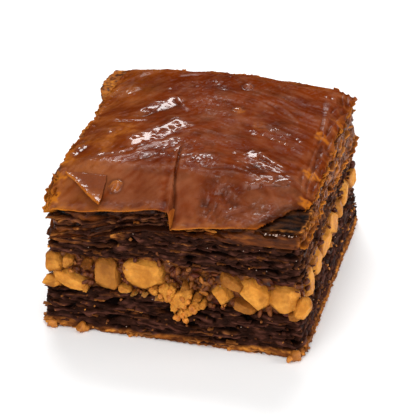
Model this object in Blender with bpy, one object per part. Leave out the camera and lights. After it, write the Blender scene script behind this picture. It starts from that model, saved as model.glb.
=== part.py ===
"""A square-cut piece of chocolate baklava: a lower pack of cocoa pastry leaves, a layer of
chopped hazelnuts and an upper pack of leaves under glazed, torn top sheets.

Blender 4.5, metres, +Z up. The origin is the centre of the flat underside, -Y is the front
and +X is the right side. Three closed solids: lower_pastry, nut_filling and upper_pastry.
"""

import math
import random

import bmesh
import bpy
from mathutils import Vector

MM = 0.001

# Driving dimensions of the piece
WIDTH = 52.0 * MM  # along X
DEPTH = 57.0 * MM  # along Y
FILLING_BOTTOM = 8.4 * MM  # top of the lower pastry
FILLING_TOP = 16.3 * MM  # underside of the upper pastry
SECOND_SHEET = 23.9 * MM  # height of the sheet that stands out under the top sheets
SECOND_DIP = 4.6 * MM  # how much lower it is at the front left corner
TOP_FRONT = 30.3 * MM  # height of the top at the front, before it slopes down
TOP_BACK = 32.2 * MM
DOME = 1.7 * MM  # how much higher the middle of the top is than its left and right sides
LAYER_GAP = 0.35 * MM  # between the filling and either pastry

# The grid that carries the relief
CELLS_X = 22
CELLS_Y = 24
EDGE_BAND = 6.5 * MM  # how far in from the walls the hidden faces are wavy
CORNER_CUT = 0.9 * MM  # how much each corner is rounded off
CORE_CELLS_X = 13  # the filling between the nuts is coarser
CORE_CELLS_Y = 14

# Relief of the walls: how far the leaves wander in and out
LEAF_WANDER = 0.35 * MM
LEAF_PROUD = 0.30 * MM  # a leaf's edge outside the cut face
GROOVE = 0.55 * MM  # a groove between leaves, inside the cut face
CRUST_HEIGHT = 1.7 * MM  # the browned leaves at the bottom
CRUST_OUT = 0.35 * MM
FLARE = 0.9 * MM  # how far the piece spreads at its base
FLARE_HEIGHT = 16.0 * MM  # from this height down
BASE_EDGE = 0.4 * MM  # height over which the underside draws in
BASE_INSET = 0.6 * MM
LOWER_LEAVES = 4
UPPER_LEAVES = 4
LEAF_BULGE = 0.55  # where between two grooves a leaf stands out

# The second sheet and the top sheets at their edges
SECOND_THICK = 0.8 * MM
SECOND_OUT = 0.5 * MM
SHEET = 1.0 * MM  # thickness of the top sheets together
SHEET_OUT = 0.6 * MM
SHEET_RIGHT_IN = 1.7 * MM  # how much less they reach out on the right side
SHEET_DRAWN_BACK = 0.9 * MM  # how far they draw back where the corner is torn

# The front of the top: two patches with a crack between them, and a torn corner
LEFT_PATCH = (28.5 * MM, 0.14)  # height of the front edge at x = 0, and its rise along X
RIGHT_PATCH = (25.5 * MM, 0.16)
CRACK_FROM = Vector((0.3, -28.5)) * MM
CRACK_TO = Vector((-3.3, -4.2)) * MM
CRACK_WIDTH = 1.5 * MM
TEAR_FROM = Vector((15.8, -28.5)) * MM
TEAR_TO = Vector((25.5, -16.5)) * MM
TEAR_DROP = 2.8 * MM
TEAR_WIDTH = 1.6 * MM
FRONT_SLOPE = 13.0 * MM  # the patches slope down over this length
SIDE_SLOPE = 6.0 * MM
SIDE_DROP = 1.3 * MM

# Air gap under the top sheets: its depth at the front, where it is widest, and elsewhere
GAP_FRONT = 2.6 * MM
GAP_ELSEWHERE = 0.9 * MM
GAP_LEFT_END = -18.0 * MM
GAP_RIGHT_END = 2.0 * MM

# Folds of the top sheets: both ends, height and half width
FOLDS = (
    ((-18.5, 9.5), (-11.5, 17.0), 0.9, 1.7),
    ((-16.0, -3.5), (-7.0, 8.5), 1.1, 1.9),
    ((-22.5, 5.5), (-15.0, 7.0), 0.7, 1.6),
    ((-8.5, -3.5), (2.0, -4.5), 0.8, 1.8),
    ((8.5, -1.0), (18.0, -7.0), 0.8, 1.8),
    ((12.5, -16.5), (23.0, -10.5), 0.8, 1.7),
    ((9.0, 6.5), (20.5, 3.5), 0.7, 1.9),
    ((1.5, 23.5), (7.0, 24.5), 0.7, 1.8),
    ((-20.0, 21.0), (-8.0, 24.5), 0.7, 2.0),
    ((10.0, 14.5), (21.5, 19.0), 0.6, 2.0),
)

# Nuts on the front face: middle (x, z), width and height
FRONT_NUTS = (
    ((-24.0, 14.2), 3.4, 2.8),
    ((-20.4, 14.4), 3.0, 2.8),
    ((-20.8, 10.7), 8.6, 4.5),
    ((-12.8, 13.0), 4.8, 7.5),
    ((-5.4, 14.3), 9.1, 6.9),
    ((-0.6, 10.6), 4.2, 3.8),
    ((2.8, 9.0), 5.8, 5.4),
    ((6.2, 10.3), 3.6, 3.2),
    ((3.4, 13.4), 3.8, 3.0),
    ((10.3, 11.8), 4.0, 4.2),
    ((16.8, 12.9), 7.0, 6.6),
    ((23.2, 12.3), 6.8, 7.3),
)
NUT_STEP = 5.6 * MM  # spacing of the nuts round the other three sides
NUT_WIDTHS = (4.2 * MM, 7.6 * MM)
NUT_PROUD = 0.6 * MM  # how far a nut stands out of the cut face
NUT_INSET = 0.9 * MM  # a nut is widest this far in
CORE_INSET = 1.9 * MM  # the filling between the nuts lies this far in
CORE_CLEARANCE = 0.6 * MM  # between it and either pastry

# Places where the filling presses into the pastry: x on the front face, rise and reach
PRESSED_DOWN = (2.8 * MM, 3.4 * MM, 4.6 * MM)
PRESSED_UP = (-4.0 * MM, 1.6 * MM, 7.0 * MM)
LOWER_RISE = (0.0, 1.6 * MM, 15.0 * MM)  # where the lower pastry arches up


def smooth(t):
    t = min(max(t, 0.0), 1.0)
    return t * t * (3.0 - 2.0 * t)


def turn_of(x, y):
    """Where a point lies round the piece, from 0 to 1, counted from the right side."""
    return math.atan2(y / DEPTH, x / WIDTH) / math.tau % 1.0


def wander(seed, turn):
    """A smooth closed line of about -1 to 1 round the piece, one line for each seed."""
    draw = random.Random(seed)
    waves = (3, 7, 12, 19)
    return sum(math.sin(math.tau * (n * turn + draw.random())) for n in waves) / 2.2


def edge_share(x, y):
    """1 at the walls, 0 further in than EDGE_BAND."""
    inside = min(WIDTH / 2 - abs(x), DEPTH / 2 - abs(y))
    return 1.0 - smooth(inside / EDGE_BAND)


def press(x, y, spot):
    middle, rise, reach = spot
    away = math.hypot(x - middle, max(y + DEPTH / 2, 0.0))
    return rise * math.exp(-((away / reach) ** 2) * 1.4)


def lower_face(x, y, pressed=1.0):
    """Height of the lower pastry's top, under the nuts."""
    wave = 0.3 * MM * math.sin(x / (5.3 * MM) + y / (9.0 * MM) + 0.6)
    wave += 0.3 * MM * math.sin(y / (4.4 * MM) - x / (11.0 * MM))
    wave += press(x, y, LOWER_RISE)
    return FILLING_BOTTOM + edge_share(x, y) * (wave - pressed * press(x, y, PRESSED_DOWN))


def upper_face(x, y, pressed=1.0):
    """Height of the upper pastry's underside, over the nuts."""
    wave = 0.3 * MM * math.sin(x / (6.0 * MM) - y / (8.0 * MM) + 2.0)
    wave += 0.3 * MM * math.sin(y / (5.0 * MM) + x / (9.0 * MM) + 1.0)
    return FILLING_TOP + edge_share(x, y) * (wave + pressed * press(x, y, PRESSED_UP))


def core_bottom(x, y):
    """Underside of the filling between the nuts."""
    return lower_face(x, y, pressed=0.0) + CORE_CLEARANCE


def core_top(x, y):
    """Top of the filling between the nuts."""
    return upper_face(x, y, pressed=0.0) - CORE_CLEARANCE


def fold_height(x, y):
    total = 0.0
    point = Vector((x, y)) / MM
    for start, end, height, half_width in FOLDS:
        start = Vector(start)
        along = Vector(end) - start
        share = min(max((point - start).dot(along) / along.length_squared, 0.0), 1.0)
        away = (point - start - along * share).length
        total += height * MM * math.exp(-((away / half_width) ** 2))
    return total


def beside(x, y, start, end):
    """How far a point lies to the right of the line from start to end."""
    along = end - start
    return ((x - start.x) * along.y - (y - start.y) * along.x) / along.length


def torn_away(x, y):
    """0 on the top sheets, 1 where the front right corner of them is missing."""
    return smooth(beside(x, y, TEAR_FROM, TEAR_TO) / TEAR_WIDTH)


def front_edge(x, y):
    """Height that the top slopes down to at the front: two patches, a step between them."""
    left, right = (height + rise * x for height, rise in (LEFT_PATCH, RIGHT_PATCH))
    return left + (right - left) * smooth(beside(x, y, CRACK_FROM, CRACK_TO) / CRACK_WIDTH + 0.5)


def top_face(x, y):
    """Height of the glazed top."""
    u = 2 * x / WIDTH
    height = TOP_FRONT + (TOP_BACK - TOP_FRONT) * (y / DEPTH + 0.5) + DOME * (1.0 - u * u)
    side = min(WIDTH / 2 - abs(x), DEPTH / 2 - y)
    height -= SIDE_DROP * (1.0 - smooth(side / SIDE_SLOPE))
    slope = smooth((FRONT_SLOPE - (y + DEPTH / 2)) / FRONT_SLOPE)
    height += (front_edge(x, y) - height) * slope
    return height + fold_height(x, y) - TEAR_DROP * torn_away(x, y)


def second_sheet(x, y):
    """Height of the sheet that stands out under the top sheets, without its waves."""
    left = smooth((-2.0 * MM - x) / (24.0 * MM))
    front = smooth((12.0 * MM - (y + DEPTH / 2)) / (12.0 * MM))
    return SECOND_SHEET - SECOND_DIP * left * front


def gap_depth(x, y):
    """How deep the air gap under the top sheets runs in."""
    on_front = smooth((-y - DEPTH / 2 + 3.0 * MM) / (3.0 * MM))
    between = smooth((x - GAP_LEFT_END) / (4.0 * MM)) * smooth((GAP_RIGHT_END - x) / (4.0 * MM))
    return GAP_ELSEWHERE + (GAP_FRONT - GAP_ELSEWHERE) * on_front * between


def leaf_rows(first, last, leaves, seed):
    """Rows of a stack of leaves between two heights: (height, seed of its line, offset)."""
    rows = []
    for leaf in range(leaves):
        for place, offset in ((0.0, -GROOVE), (LEAF_BULGE, LEAF_PROUD)):
            share = (leaf + place) / leaves
            rows.append((first + (last - first) * share, seed + leaf, offset))
    rows.append((last, seed + leaves, -GROOVE))
    return rows


def lower_wall(x, y):
    """(height, outward offset) of each row of the lower pastry's wall, from the bottom up."""
    turn = turn_of(x, y)
    top = lower_face(x, y)
    crust = CRUST_HEIGHT + 0.2 * MM * wander(3, turn)
    crust_out = CRUST_OUT + 0.25 * MM * wander(4, turn)
    rows = [(0.0, -BASE_INSET), (BASE_EDGE, crust_out), (crust, crust_out)]
    stack = leaf_rows(crust + 0.3 * MM, top, LOWER_LEAVES, seed=20)
    rows += [(z, out + LEAF_WANDER * wander(seed, turn)) for z, seed, out in stack]
    return [(z, out + FLARE * (1.0 - z / FLARE_HEIGHT)) for z, out in rows]


def upper_wall(x, y):
    """(height, outward offset) of each row of the upper pastry's wall, from the bottom up."""
    turn = turn_of(x, y)
    top = top_face(x, y)
    low = second_sheet(x, y) - SECOND_THICK / 2 + 0.3 * MM * wander(7, turn)
    high = low + SECOND_THICK
    out = SECOND_OUT + 0.35 * MM * wander(8, turn)
    sheet_out = SHEET_OUT + 0.45 * MM * wander(9, turn) - SHEET_DRAWN_BACK * torn_away(x, y)
    sheet_out -= SHEET_RIGHT_IN * smooth((x - WIDTH / 2 + 1.0 * MM) / (1.0 * MM))
    deep = -gap_depth(x, y)
    stack = leaf_rows(upper_face(x, y), low - 0.2 * MM, UPPER_LEAVES, seed=40)
    rows = [(z, offset + LEAF_WANDER * wander(seed, turn)) for z, seed, offset in stack]
    rows += [(low, out), (high, out), (high + 0.3 * MM, deep)]
    rows += [(top - SHEET - 0.2 * MM, deep), (top - SHEET, sheet_out - 0.15 * MM)]
    return rows + [(top - 0.1 * MM, sheet_out)]


def core_wall(x, y):
    """(height, outward offset) of each row of the filling between the nuts."""
    turn = turn_of(x, y)
    low, high = core_bottom(x, y), core_top(x, y)
    middle = (low + high) / 2
    offsets = [-CORE_INSET + 0.35 * MM * wander(60 + n, turn) for n in range(3)]
    return list(zip((low, middle, high), offsets))


def grid_block(name, cells_x, cells_y, rows):
    """A block of cells_x by cells_y cells with that many rows of points up its walls."""
    bm = bmesh.new()
    bmesh.ops.create_cube(bm, size=2.0)
    for axis, cuts in ((0, cells_x - 1), (1, cells_y - 1), (2, rows - 2)):
        parallel = []
        for edge in bm.edges:
            run = edge.verts[1].co - edge.verts[0].co
            if abs(run[axis]) > 0.99 * run.length:
                parallel.append(edge)
        bmesh.ops.subdivide_edges(bm, edges=parallel, cuts=cuts, use_grid_fill=True)
    mesh = bpy.data.meshes.new(name)
    bm.to_mesh(mesh)
    bm.free()
    return mesh


def outward(u, v):
    """The way out of the wall at a grid point, and how much of a corner it is."""
    side = Vector((round(u) if abs(u) > 0.999 else 0, round(v) if abs(v) > 0.999 else 0, 0))
    is_corner = abs(u) > 0.999 and abs(v) > 0.999
    return side.normalized(), is_corner


def shape_block(mesh, wall, bottom, top):
    """Moves the points of a grid block to the walls' rows and to the two faces."""
    rows = len(wall(0.0, 0.0))
    for vertex in mesh.vertices:
        u, v, w = vertex.co
        x, y = u * WIDTH / 2, v * DEPTH / 2
        way, is_corner = outward(u, v)
        if way.length > 0:
            height, offset = wall(x, y)[round((w + 1) / 2 * (rows - 1))]
            offset -= CORNER_CUT if is_corner else 0.0
            vertex.co = Vector((x, y, height)) + way * offset
        else:
            vertex.co = (x, y, (top if w > 0 else bottom)(x, y))


def finish_mesh(mesh):
    """Merges the flat cells into large faces and splits the rest into triangles."""
    bm = bmesh.new()
    bm.from_mesh(mesh)
    bmesh.ops.dissolve_limit(
        bm, angle_limit=math.radians(0.05), verts=bm.verts, edges=bm.edges
    )
    bmesh.ops.triangulate(bm, faces=bm.faces)
    bmesh.ops.recalc_face_normals(bm, faces=bm.faces)
    bm.to_mesh(mesh)
    bm.free()


def new_material(name, colour, roughness):
    material = bpy.data.materials.new(name)
    material.use_nodes = True
    shader = material.node_tree.nodes["Principled BSDF"]
    shader.inputs["Base Color"].default_value = (*colour, 1.0)
    shader.inputs["Roughness"].default_value = roughness
    shader.inputs["Metallic"].default_value = 0.0
    return material


def new_object(name, mesh, collection, material):
    piece = bpy.data.objects.new(name, mesh)
    piece.data.materials.append(material)
    collection.objects.link(piece)
    return piece


def make_lower_pastry(collection, material):
    mesh = grid_block("lower_pastry", CELLS_X, CELLS_Y, len(lower_wall(0.0, 0.0)))
    shape_block(mesh, lower_wall, lambda x, y: 0.0, lower_face)
    finish_mesh(mesh)
    return new_object("lower_pastry", mesh, collection, material)


def make_upper_pastry(collection, material):
    mesh = grid_block("upper_pastry", CELLS_X, CELLS_Y, len(upper_wall(0.0, 0.0)))
    shape_block(mesh, upper_wall, upper_face, top_face)
    finish_mesh(mesh)
    return new_object("upper_pastry", mesh, collection, material)


def make_filling_core(collection, material):
    mesh = grid_block("nut_filling", CORE_CELLS_X, CORE_CELLS_Y, len(core_wall(0.0, 0.0)))
    shape_block(mesh, core_wall, core_bottom, core_top)
    finish_mesh(mesh)
    return new_object("nut_filling", mesh, collection, material)


def nut_places():
    """(x, y, z, way out, width, height) of each nut that shows, all in metres."""
    draw = random.Random(11)
    places = []
    for (x, z), width, height in FRONT_NUTS:
        spot = (x * MM, -DEPTH / 2, z * MM, Vector((0, -1, 0)), width * MM, height * MM)
        places.append(spot)
    sides = (
        (Vector((WIDTH / 2, -DEPTH / 2)), Vector((0, 1)), DEPTH, Vector((1, 0, 0))),
        (Vector((WIDTH / 2, DEPTH / 2)), Vector((-1, 0)), WIDTH, Vector((0, 1, 0))),
        (Vector((-WIDTH / 2, DEPTH / 2)), Vector((0, -1)), DEPTH, Vector((-1, 0, 0))),
    )
    for start, along, length, way in sides:
        count = round(length / NUT_STEP)
        for n in range(count):
            step = (n + 0.5 + draw.uniform(-0.15, 0.15)) / count
            spot = start + along * length * step
            low, high = lower_face(*spot), upper_face(*spot)
            width = draw.uniform(*NUT_WIDTHS)
            height = min(width * draw.uniform(0.75, 1.1), high - low)
            middle = draw.uniform(low + height / 2, high - height / 2)
            places.append((spot.x, spot.y, middle, way, width, height))
    return places


def make_nut(place, draw):
    """One chopped hazelnut: a rounded kernel with a flat broken face that looks outwards."""
    x, y, z, way, width, height = place
    bm = bmesh.new()
    bmesh.ops.create_icosphere(bm, subdivisions=2, radius=1.0)
    cut = Vector((draw.uniform(-0.9, 0.9), draw.uniform(0.4, 1.0), draw.uniform(-0.6, 0.6)))
    cut.normalize()
    cut_geometry = bmesh.ops.bisect_plane(
        bm,
        geom=bm.verts[:] + bm.edges[:] + bm.faces[:],
        plane_co=cut * draw.uniform(0.35, 0.7),
        plane_no=cut,
        clear_outer=True,
    )["geom_cut"]
    rim = [item for item in cut_geometry if isinstance(item, bmesh.types.BMEdge)]
    bmesh.ops.edgeloop_fill(bm, edges=rim)
    out = NUT_INSET + NUT_PROUD
    deep = max(min(width, height) * 0.6, CORE_INSET + 0.9 * MM - NUT_INSET)
    along = way.cross(Vector((0, 0, 1)))
    middle = Vector((x, y, z)) - way * NUT_INSET
    clear = LAYER_GAP + draw.uniform(0.05, 0.2) * MM
    for vertex in bm.verts:
        p = vertex.co
        spot = middle + along * p.x * width / 2 + way * p.y * (out if p.y > 0 else deep)
        spot.z += p.z * height / 2
        low = lower_face(spot.x, spot.y) + clear
        high = upper_face(spot.x, spot.y) - clear
        spot.z = min(max(spot.z, low), high)
        vertex.co = spot
    bmesh.ops.remove_doubles(bm, verts=bm.verts, dist=0.02 * MM)
    bmesh.ops.triangulate(bm, faces=bm.faces)
    bmesh.ops.recalc_face_normals(bm, faces=bm.faces)
    mesh = bpy.data.meshes.new("nut")
    bm.to_mesh(mesh)
    bm.free()
    return mesh


def drop_scraps(mesh):
    """Keeps the largest body of a mesh and deletes slivers that hang on by a corner."""
    bm = bmesh.new()
    bm.from_mesh(mesh)
    bodies = []
    waiting = set(bm.faces)
    while waiting:
        body = {waiting.pop()}
        front = list(body)
        while front:
            for edge in front.pop().edges:
                near = waiting.intersection(edge.link_faces)
                waiting -= near
                body |= near
                front.extend(near)
        bodies.append(body)
    bodies.sort(key=len)
    scraps = [face for body in bodies[:-1] for face in body]
    bmesh.ops.delete(bm, geom=scraps, context="FACES")
    bm.to_mesh(mesh)
    bm.free()


def fuse(piece, loose):
    """Joins every object of the collection to the piece, then removes the collection."""
    union = piece.modifiers.new("fuse_nuts", "BOOLEAN")
    union.operation = "UNION"
    union.solver = "EXACT"
    union.operand_type = "COLLECTION"
    union.collection = loose
    graph = bpy.context.evaluated_depsgraph_get()
    joined = bpy.data.meshes.new_from_object(piece.evaluated_get(graph))
    piece.modifiers.clear()
    drop_scraps(joined)
    piece.data = joined
    for nut in list(loose.objects):
        bpy.data.objects.remove(nut)
    bpy.data.collections.remove(loose)


def make_nut_filling(collection, material):
    filling = make_filling_core(collection, material)
    loose = bpy.data.collections.new("loose_nuts")
    bpy.context.scene.collection.children.link(loose)
    draw = random.Random(5)
    for number, place in enumerate(nut_places()):
        new_object(f"nut_{number:02d}", make_nut(place, draw), loose, material)
    fuse(filling, loose)
    return filling


def shade(piece):
    piece.data.shade_smooth()
    piece.data.set_sharp_from_angle(angle=math.radians(35))


def main():
    for old in list(bpy.data.objects):
        bpy.data.objects.remove(old)
    collection = bpy.data.collections.new("baklava_piece")
    bpy.context.scene.collection.children.link(collection)
    cocoa = new_material("cocoa_pastry", (0.028, 0.013, 0.009), 0.5)
    nuts = new_material("hazelnut_filling", (0.52, 0.26, 0.07), 0.45)
    glaze = new_material("glazed_pastry", (0.20, 0.055, 0.022), 0.25)
    pieces = [
        make_lower_pastry(collection, cocoa),
        make_nut_filling(collection, nuts),
        make_upper_pastry(collection, glaze),
    ]
    for piece in pieces:
        shade(piece)


main()
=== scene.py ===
import math
import random

import bpy
import numpy as np
from mathutils import Euler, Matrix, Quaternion, Vector


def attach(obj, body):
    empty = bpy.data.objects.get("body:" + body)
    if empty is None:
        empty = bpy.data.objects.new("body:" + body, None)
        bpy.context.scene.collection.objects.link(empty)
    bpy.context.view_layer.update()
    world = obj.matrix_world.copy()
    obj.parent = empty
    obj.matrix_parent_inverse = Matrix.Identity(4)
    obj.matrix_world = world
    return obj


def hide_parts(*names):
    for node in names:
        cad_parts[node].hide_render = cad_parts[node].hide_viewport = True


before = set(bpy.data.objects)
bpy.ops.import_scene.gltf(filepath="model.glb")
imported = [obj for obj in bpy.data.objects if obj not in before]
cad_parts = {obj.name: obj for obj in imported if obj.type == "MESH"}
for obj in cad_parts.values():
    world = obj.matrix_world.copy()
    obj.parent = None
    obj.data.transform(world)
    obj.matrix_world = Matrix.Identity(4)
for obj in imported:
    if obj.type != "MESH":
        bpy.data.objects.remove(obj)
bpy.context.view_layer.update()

mm = 0.001

# The cut block in millimetres: the origin is the middle of the underside, -Y is the front
block = {
    "width": 52.0,  # along X
    "depth": 57.0,  # along Y
    "fillingBottom": 8.4,  # top of the lower leaves
    "fillingTop": 16.3,  # underside of the upper leaves
    "secondSheet": 23.9,
    "secondDip": 4.6,  # how much lower it is at the front left corner
    "secondRightDrop": 3.0,  # and at the right back
    "edgeBand": 6.5,
    "pressedDown": (2.8, 3.4, 4.6),  # x on the front, how far, reach
    "pressedUp": (-4.0, 1.6, 7.0),
    "lowerRise": (0.0, 1.6, 15.0),
    "cornerPower": 26,  # higher is a sharper corner
    "crust": 1.7,
    "flare": 0.9,  # how far the piece spreads at its base
    "flareHeight": 16.0,
}
halfX = block["width"] / 2
halfY = block["depth"] / 2

# How the top sheets rise, slope, crack and tear
topFront = {
    "frontHeight": 30.3,
    "backHeight": 32.2,
    "dome": 1.7,
    "leftPatch": (29.3, 0.14),  # height of the front edge at x = 0, and its rise along X
    "rightPatch": (25.5, 0.16),
    "slope": 13.0,
    "sideSlope": 6.0,
    "sideDrop": 1.3,
    "rightDrop": 0.7,
    "crackFrom": (-0.2, -28.5),
    "crackTo": (-3.4, -8.0),
    "crackWidth": 0.5,
    "crackDeep": 0.8,
    "tearFrom": (17.9, -28.5),
    "tearTo": (26.2, -19.2),
    "tearDrop": 1.1,
    "gapFront": 2.6,
    "gapElsewhere": 0.9,
    "gapEnds": (-18.0, 2.0),
}

# Folds of the top sheets: both ends from left to right, height, length of the front flank, wetness
folds = (
    ((-16.0, 4.2), (-9.4, 12.3), 0.62, 2.0, 1.0),
    ((-9.6, 12.2), (-6.2, 7.2), 0.30, 0.8, 0.5),
    ((-14.8, -9.8), (-5.4, 2.2), 0.85, 2.7, 1.0),
    ((-12.0, -11.6), (-5.0, -4.6), 0.32, 1.8, 0.45),
    ((-20.4, 1.2), (-13.4, 1.6), 0.18, 0.5, 0.6),
    ((-24.6, -2.2), (-19.6, -3.4), 0.22, 0.8, 0.4),
    ((-25.2, -12.6), (-23.0, -9.2), 0.36, 1.2, 1.0),
    ((-19.2, -13.6), (-14.0, -12.2), 0.12, 1.2, 1.0),
    ((-26.0, -14.8), (-17.5, -17.0), 0.25, 1.0, 0.15),
    ((-17.8, -16.8), (-8.0, -11.6), 0.30, 1.8, 0.4),
    ((10.2, -7.2), (13.0, -8.6), 0.40, 1.6, 1.0),
    ((12.2, -7.2), (18.8, -11.6), 0.42, 0.9, 0.85),
    ((12.8, -10.2), (18.2, -12.6), 0.22, 0.6, 0.8),
    ((12.0, -18.4), (22.4, -14.6), 0.36, 1.5, 1.0),
    ((13.0, -16.2), (21.0, -13.4), 0.24, 0.9, 0.6),
    ((1.5, -9.5), (11.5, -17.5), 0.40, 2.6, 0.08),
    ((3.6, -20.4), (9.4, -24.4), 0.22, 1.2, 0.45),
    ((6.2, -18.4), (12.4, -22.2), 0.20, 1.2, 0.45),
    ((9.0, -25.6), (13.6, -23.4), 0.22, 0.8, 0.4),
    ((2.4, -24.6), (6.6, -26.4), 0.20, 0.7, 0.2),
    ((-25.6, 14.6), (-21.6, 19.4), 0.20, 1.6, 0.55),
    ((-24.4, 18.6), (-18.0, 24.6), 0.24, 1.1, 0.3),
    ((-23.4, 12.8), (-19.2, 16.6), 0.26, 1.4, 0.35),
    ((-12.0, 23.0), (-6.5, 25.0), 0.20, 0.8, 0.3),
    ((21.6, 20.0), (22.8, 7.5), 0.34, 1.1, 0.4),
    ((23.2, 20.5), (24.2, 6.0), 0.34, 0.8, 0.35),
    ((23.6, 2.0), (24.6, -12.0), 0.30, 0.8, 0.4),
)

# Patches where the glaze lies in fine grains: place, reach, strength
grainyPatches = (
    ((-4.5, 18.0), 5.0, 0.6), ((-5.0, -8.6), 4.6, 1.0), ((-15.5, -15.4), 3.2, 0.8), ((-9.0, -12.6), 3.0, 0.7),
    ((8.0, -22.0), 5.0, 1.0), ((1.0, -12.0), 4.5, 0.9), ((22.6, 14.0), 3.5, 0.5), ((-22.0, 14.5), 3.4, 0.8),
    ((-2.0, 10.0), 6.0, 0.5), ((13.5, -12.0), 4.5, 0.6), ((-19.0, -17.5), 4.0, 0.8),
    ((16.0, -24.0), 3.5, 0.5),
)

# Places where the sheet is thin and amber: place, reach, strength
amberSpots = (
    ((22.3, 5.6), 1.7, 0.9), ((24.2, -9.6), 1.9, 0.9), ((25.0, -19.4), 2.2, 1.0), ((24.8, 14.0), 1.6, 0.6),
    ((-20.8, -8.5), 4.0, 0.25), ((-16.9, -2.9), 3.4, 0.22), ((-25.6, -13.0), 2.4, 0.5),
    ((-25.4, -19.5), 2.4, 0.9),
    ((-13.0, -22.3), 1.2, 0.8), ((-25.5, 4.0), 2.4, 0.4), ((-25.4, -25.0), 2.2, 1.0),
    ((4.6, 9.6), 1.4, 0.4), ((9.5, 3.6), 2.0, 0.25),
)

# Places painted darker: mostly painted shade by folds and beside the flake, with a few dark brown chips at
# the crack's end: place, reach, strength
shadeAndDarkSpots = (
    ((-14.2, -25.2), 1.1, 1.0), ((-13.9, -26.6), 0.9, 1.0), ((-4.7, -12.3), 0.8, 0.9),
    ((-2.1, -12.4), 0.9, 0.9),
    ((-0.8, -11.1), 0.7, 0.8), ((-17.9, 16.8), 4.5, 0.7), ((-1.6, 6.4), 3.0, 0.5), ((12.9, -13.4), 2.6, 0.8),
    ((12.0, -20.8), 2.6, 0.7), ((4.3, -10.9), 2.2, 0.5), ((10.5, 18.9), 4.0, 0.5), ((14.6, 6.1), 3.6, 0.5),
    ((-0.6, -2.0), 2.6, 0.5), ((-1.1, 17.0), 2.4, 0.6), ((20.5, -17.5), 3.4, 0.9), ((16.8, -23.6), 2.6, 0.8),
    ((-23.5, -6.6), 1.8, 0.5), ((-8.0, 9.4), 2.0, 0.6), ((-12.6, 2.4), 2.2, 0.6), ((5.4, -22.6), 1.2, 0.8),
    ((8.8, -20.6), 1.0, 0.8), ((6.6, -18.0), 1.2, 0.6),
)

# Round blisters and drops on the top: place, radius, height
blisters = (
    ((3.6, 20.4), 1.2, 0.7),
    ((3.9, 10.0), 1.1, 0.5),
    ((-13.0, -22.1), 1.3, 0.8),
    ((-6.2, -12.0), 0.9, 0.35),
)
sparkles = (
    (9.0, 1.8), (9.6, 0.9), (11.2, 1.2), (12.4, 3.4), (13.3, 3.9), (14.0, 3.5), (13.6, 0.3), (15.4, 1.5),
    (15.3, -0.7), (16.6, -1.1), (18.4, 1.7), (19.3, 0.7), (18.4, -2.3), (16.4, 2.7), (20.4, 21.6),
    (21.8, 22.0),
    (7.6, -7.8), (9.2, -11.4), (-19.6, -4.2), (-12.4, 16.2), (-1.5, 24.0), (-3.6, 21.0),
)


def smooth(t):
    t = np.clip(t, 0.0, 1.0)
    return t * t * (3.0 - 2.0 * t)


def atRight(x):  # 1 on the right side
    return smooth((x - halfX + 1.0) / 1.0)


def atFront(y):  # 1 on the front
    return smooth((-y - halfY + 1.5) / 1.0)


def bell(x, y, middle, size):  # 1 at the middle, fading out round it
    return np.exp(-(((x - middle[0]) / size) ** 2 + ((y - middle[1]) / size) ** 2))


def turned(x, y, angle):  # along and across a direction in degrees
    cos, sin = math.cos(math.radians(angle)), math.sin(math.radians(angle))
    return x * cos + y * sin, -x * sin + y * cos


def spotsNear(spots, x, y):  # distance to each spot as a share of its reach, and its strength
    for (middleX, middleY), size, strength in spots:
        yield np.hypot(x - middleX, y - middleY) / size, strength


def turnOf(x, y):  # where a point lies round the block, from 0 to 1
    return np.arctan2(y / block["depth"], x / block["width"]) / math.tau % 1.0


def wander(seed, turn):  # the same slow closed lines as in the CAD
    draw = random.Random(seed)
    return sum(np.sin(math.tau * (n * turn + draw.random())) for n in (3, 7, 12, 19)) / 2.2


def ringNoise(way, knots, seed):  # closed noise of -1 to 1 with that many knots round the block
    values = np.random.default_rng(seed).uniform(-1, 1, knots)
    place = way * knots
    low = np.floor(place).astype(int)
    share = smooth(place - low)
    return values[low % knots] * (1 - share) + values[(low + 1) % knots] * share


def fieldNoise(x, y, seed, wrap=64):  # gradient noise of about -1 to 1, features one unit across
    angles = np.random.default_rng(seed).uniform(0, math.tau, (wrap, 64))
    cellX, cellY = np.floor(x).astype(int), np.floor(y).astype(int)
    shareX, shareY = x - cellX, y - cellY

    def corner(dx, dy):
        angle = angles[(cellX + dx) % wrap, (cellY + dy) % 64]
        return np.cos(angle) * (shareX - dx) + np.sin(angle) * (shareY - dy)

    fadeX = shareX**3 * (shareX * (shareX * 6 - 15) + 10)
    fadeY = shareY**3 * (shareY * (shareY * 6 - 15) + 10)
    near = corner(0, 0) * (1 - fadeX) + corner(1, 0) * fadeX
    far = corner(0, 1) * (1 - fadeX) + corner(1, 1) * fadeX
    return (near * (1 - fadeY) + far * fadeY) * 1.5


def ringField(way, level, size, tall, seed):  # the same noise on the wall, closed round the block
    count = round(4 * (halfX + halfY) / size)
    return fieldNoise(way * count, level / tall, seed, count)


def edgeShare(x, y):
    inside = np.minimum(halfX - np.abs(x), halfY - np.abs(y))
    return 1.0 - smooth(inside / block["edgeBand"])


def press(x, y, spot):
    middle, rise, reach = spot
    away = np.hypot(x - middle, np.maximum(y + halfY, 0.0))
    return rise * np.exp(-((away / reach) ** 2) * 1.4)


def lowerFace(x, y):
    wave = 0.3 * np.sin(x / 5.3 + y / 9.0 + 0.6) + 0.3 * np.sin(y / 4.4 - x / 11.0)
    wave = wave + press(x, y, block["lowerRise"]) - press(x, y, block["pressedDown"])
    return block["fillingBottom"] + edgeShare(x, y) * wave


def upperFace(x, y):
    wave = 0.3 * np.sin(x / 6.0 - y / 8.0 + 2.0) + 0.3 * np.sin(y / 5.0 + x / 9.0 + 1.0)
    return block["fillingTop"] + edgeShare(x, y) * (wave + press(x, y, block["pressedUp"]))


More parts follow.
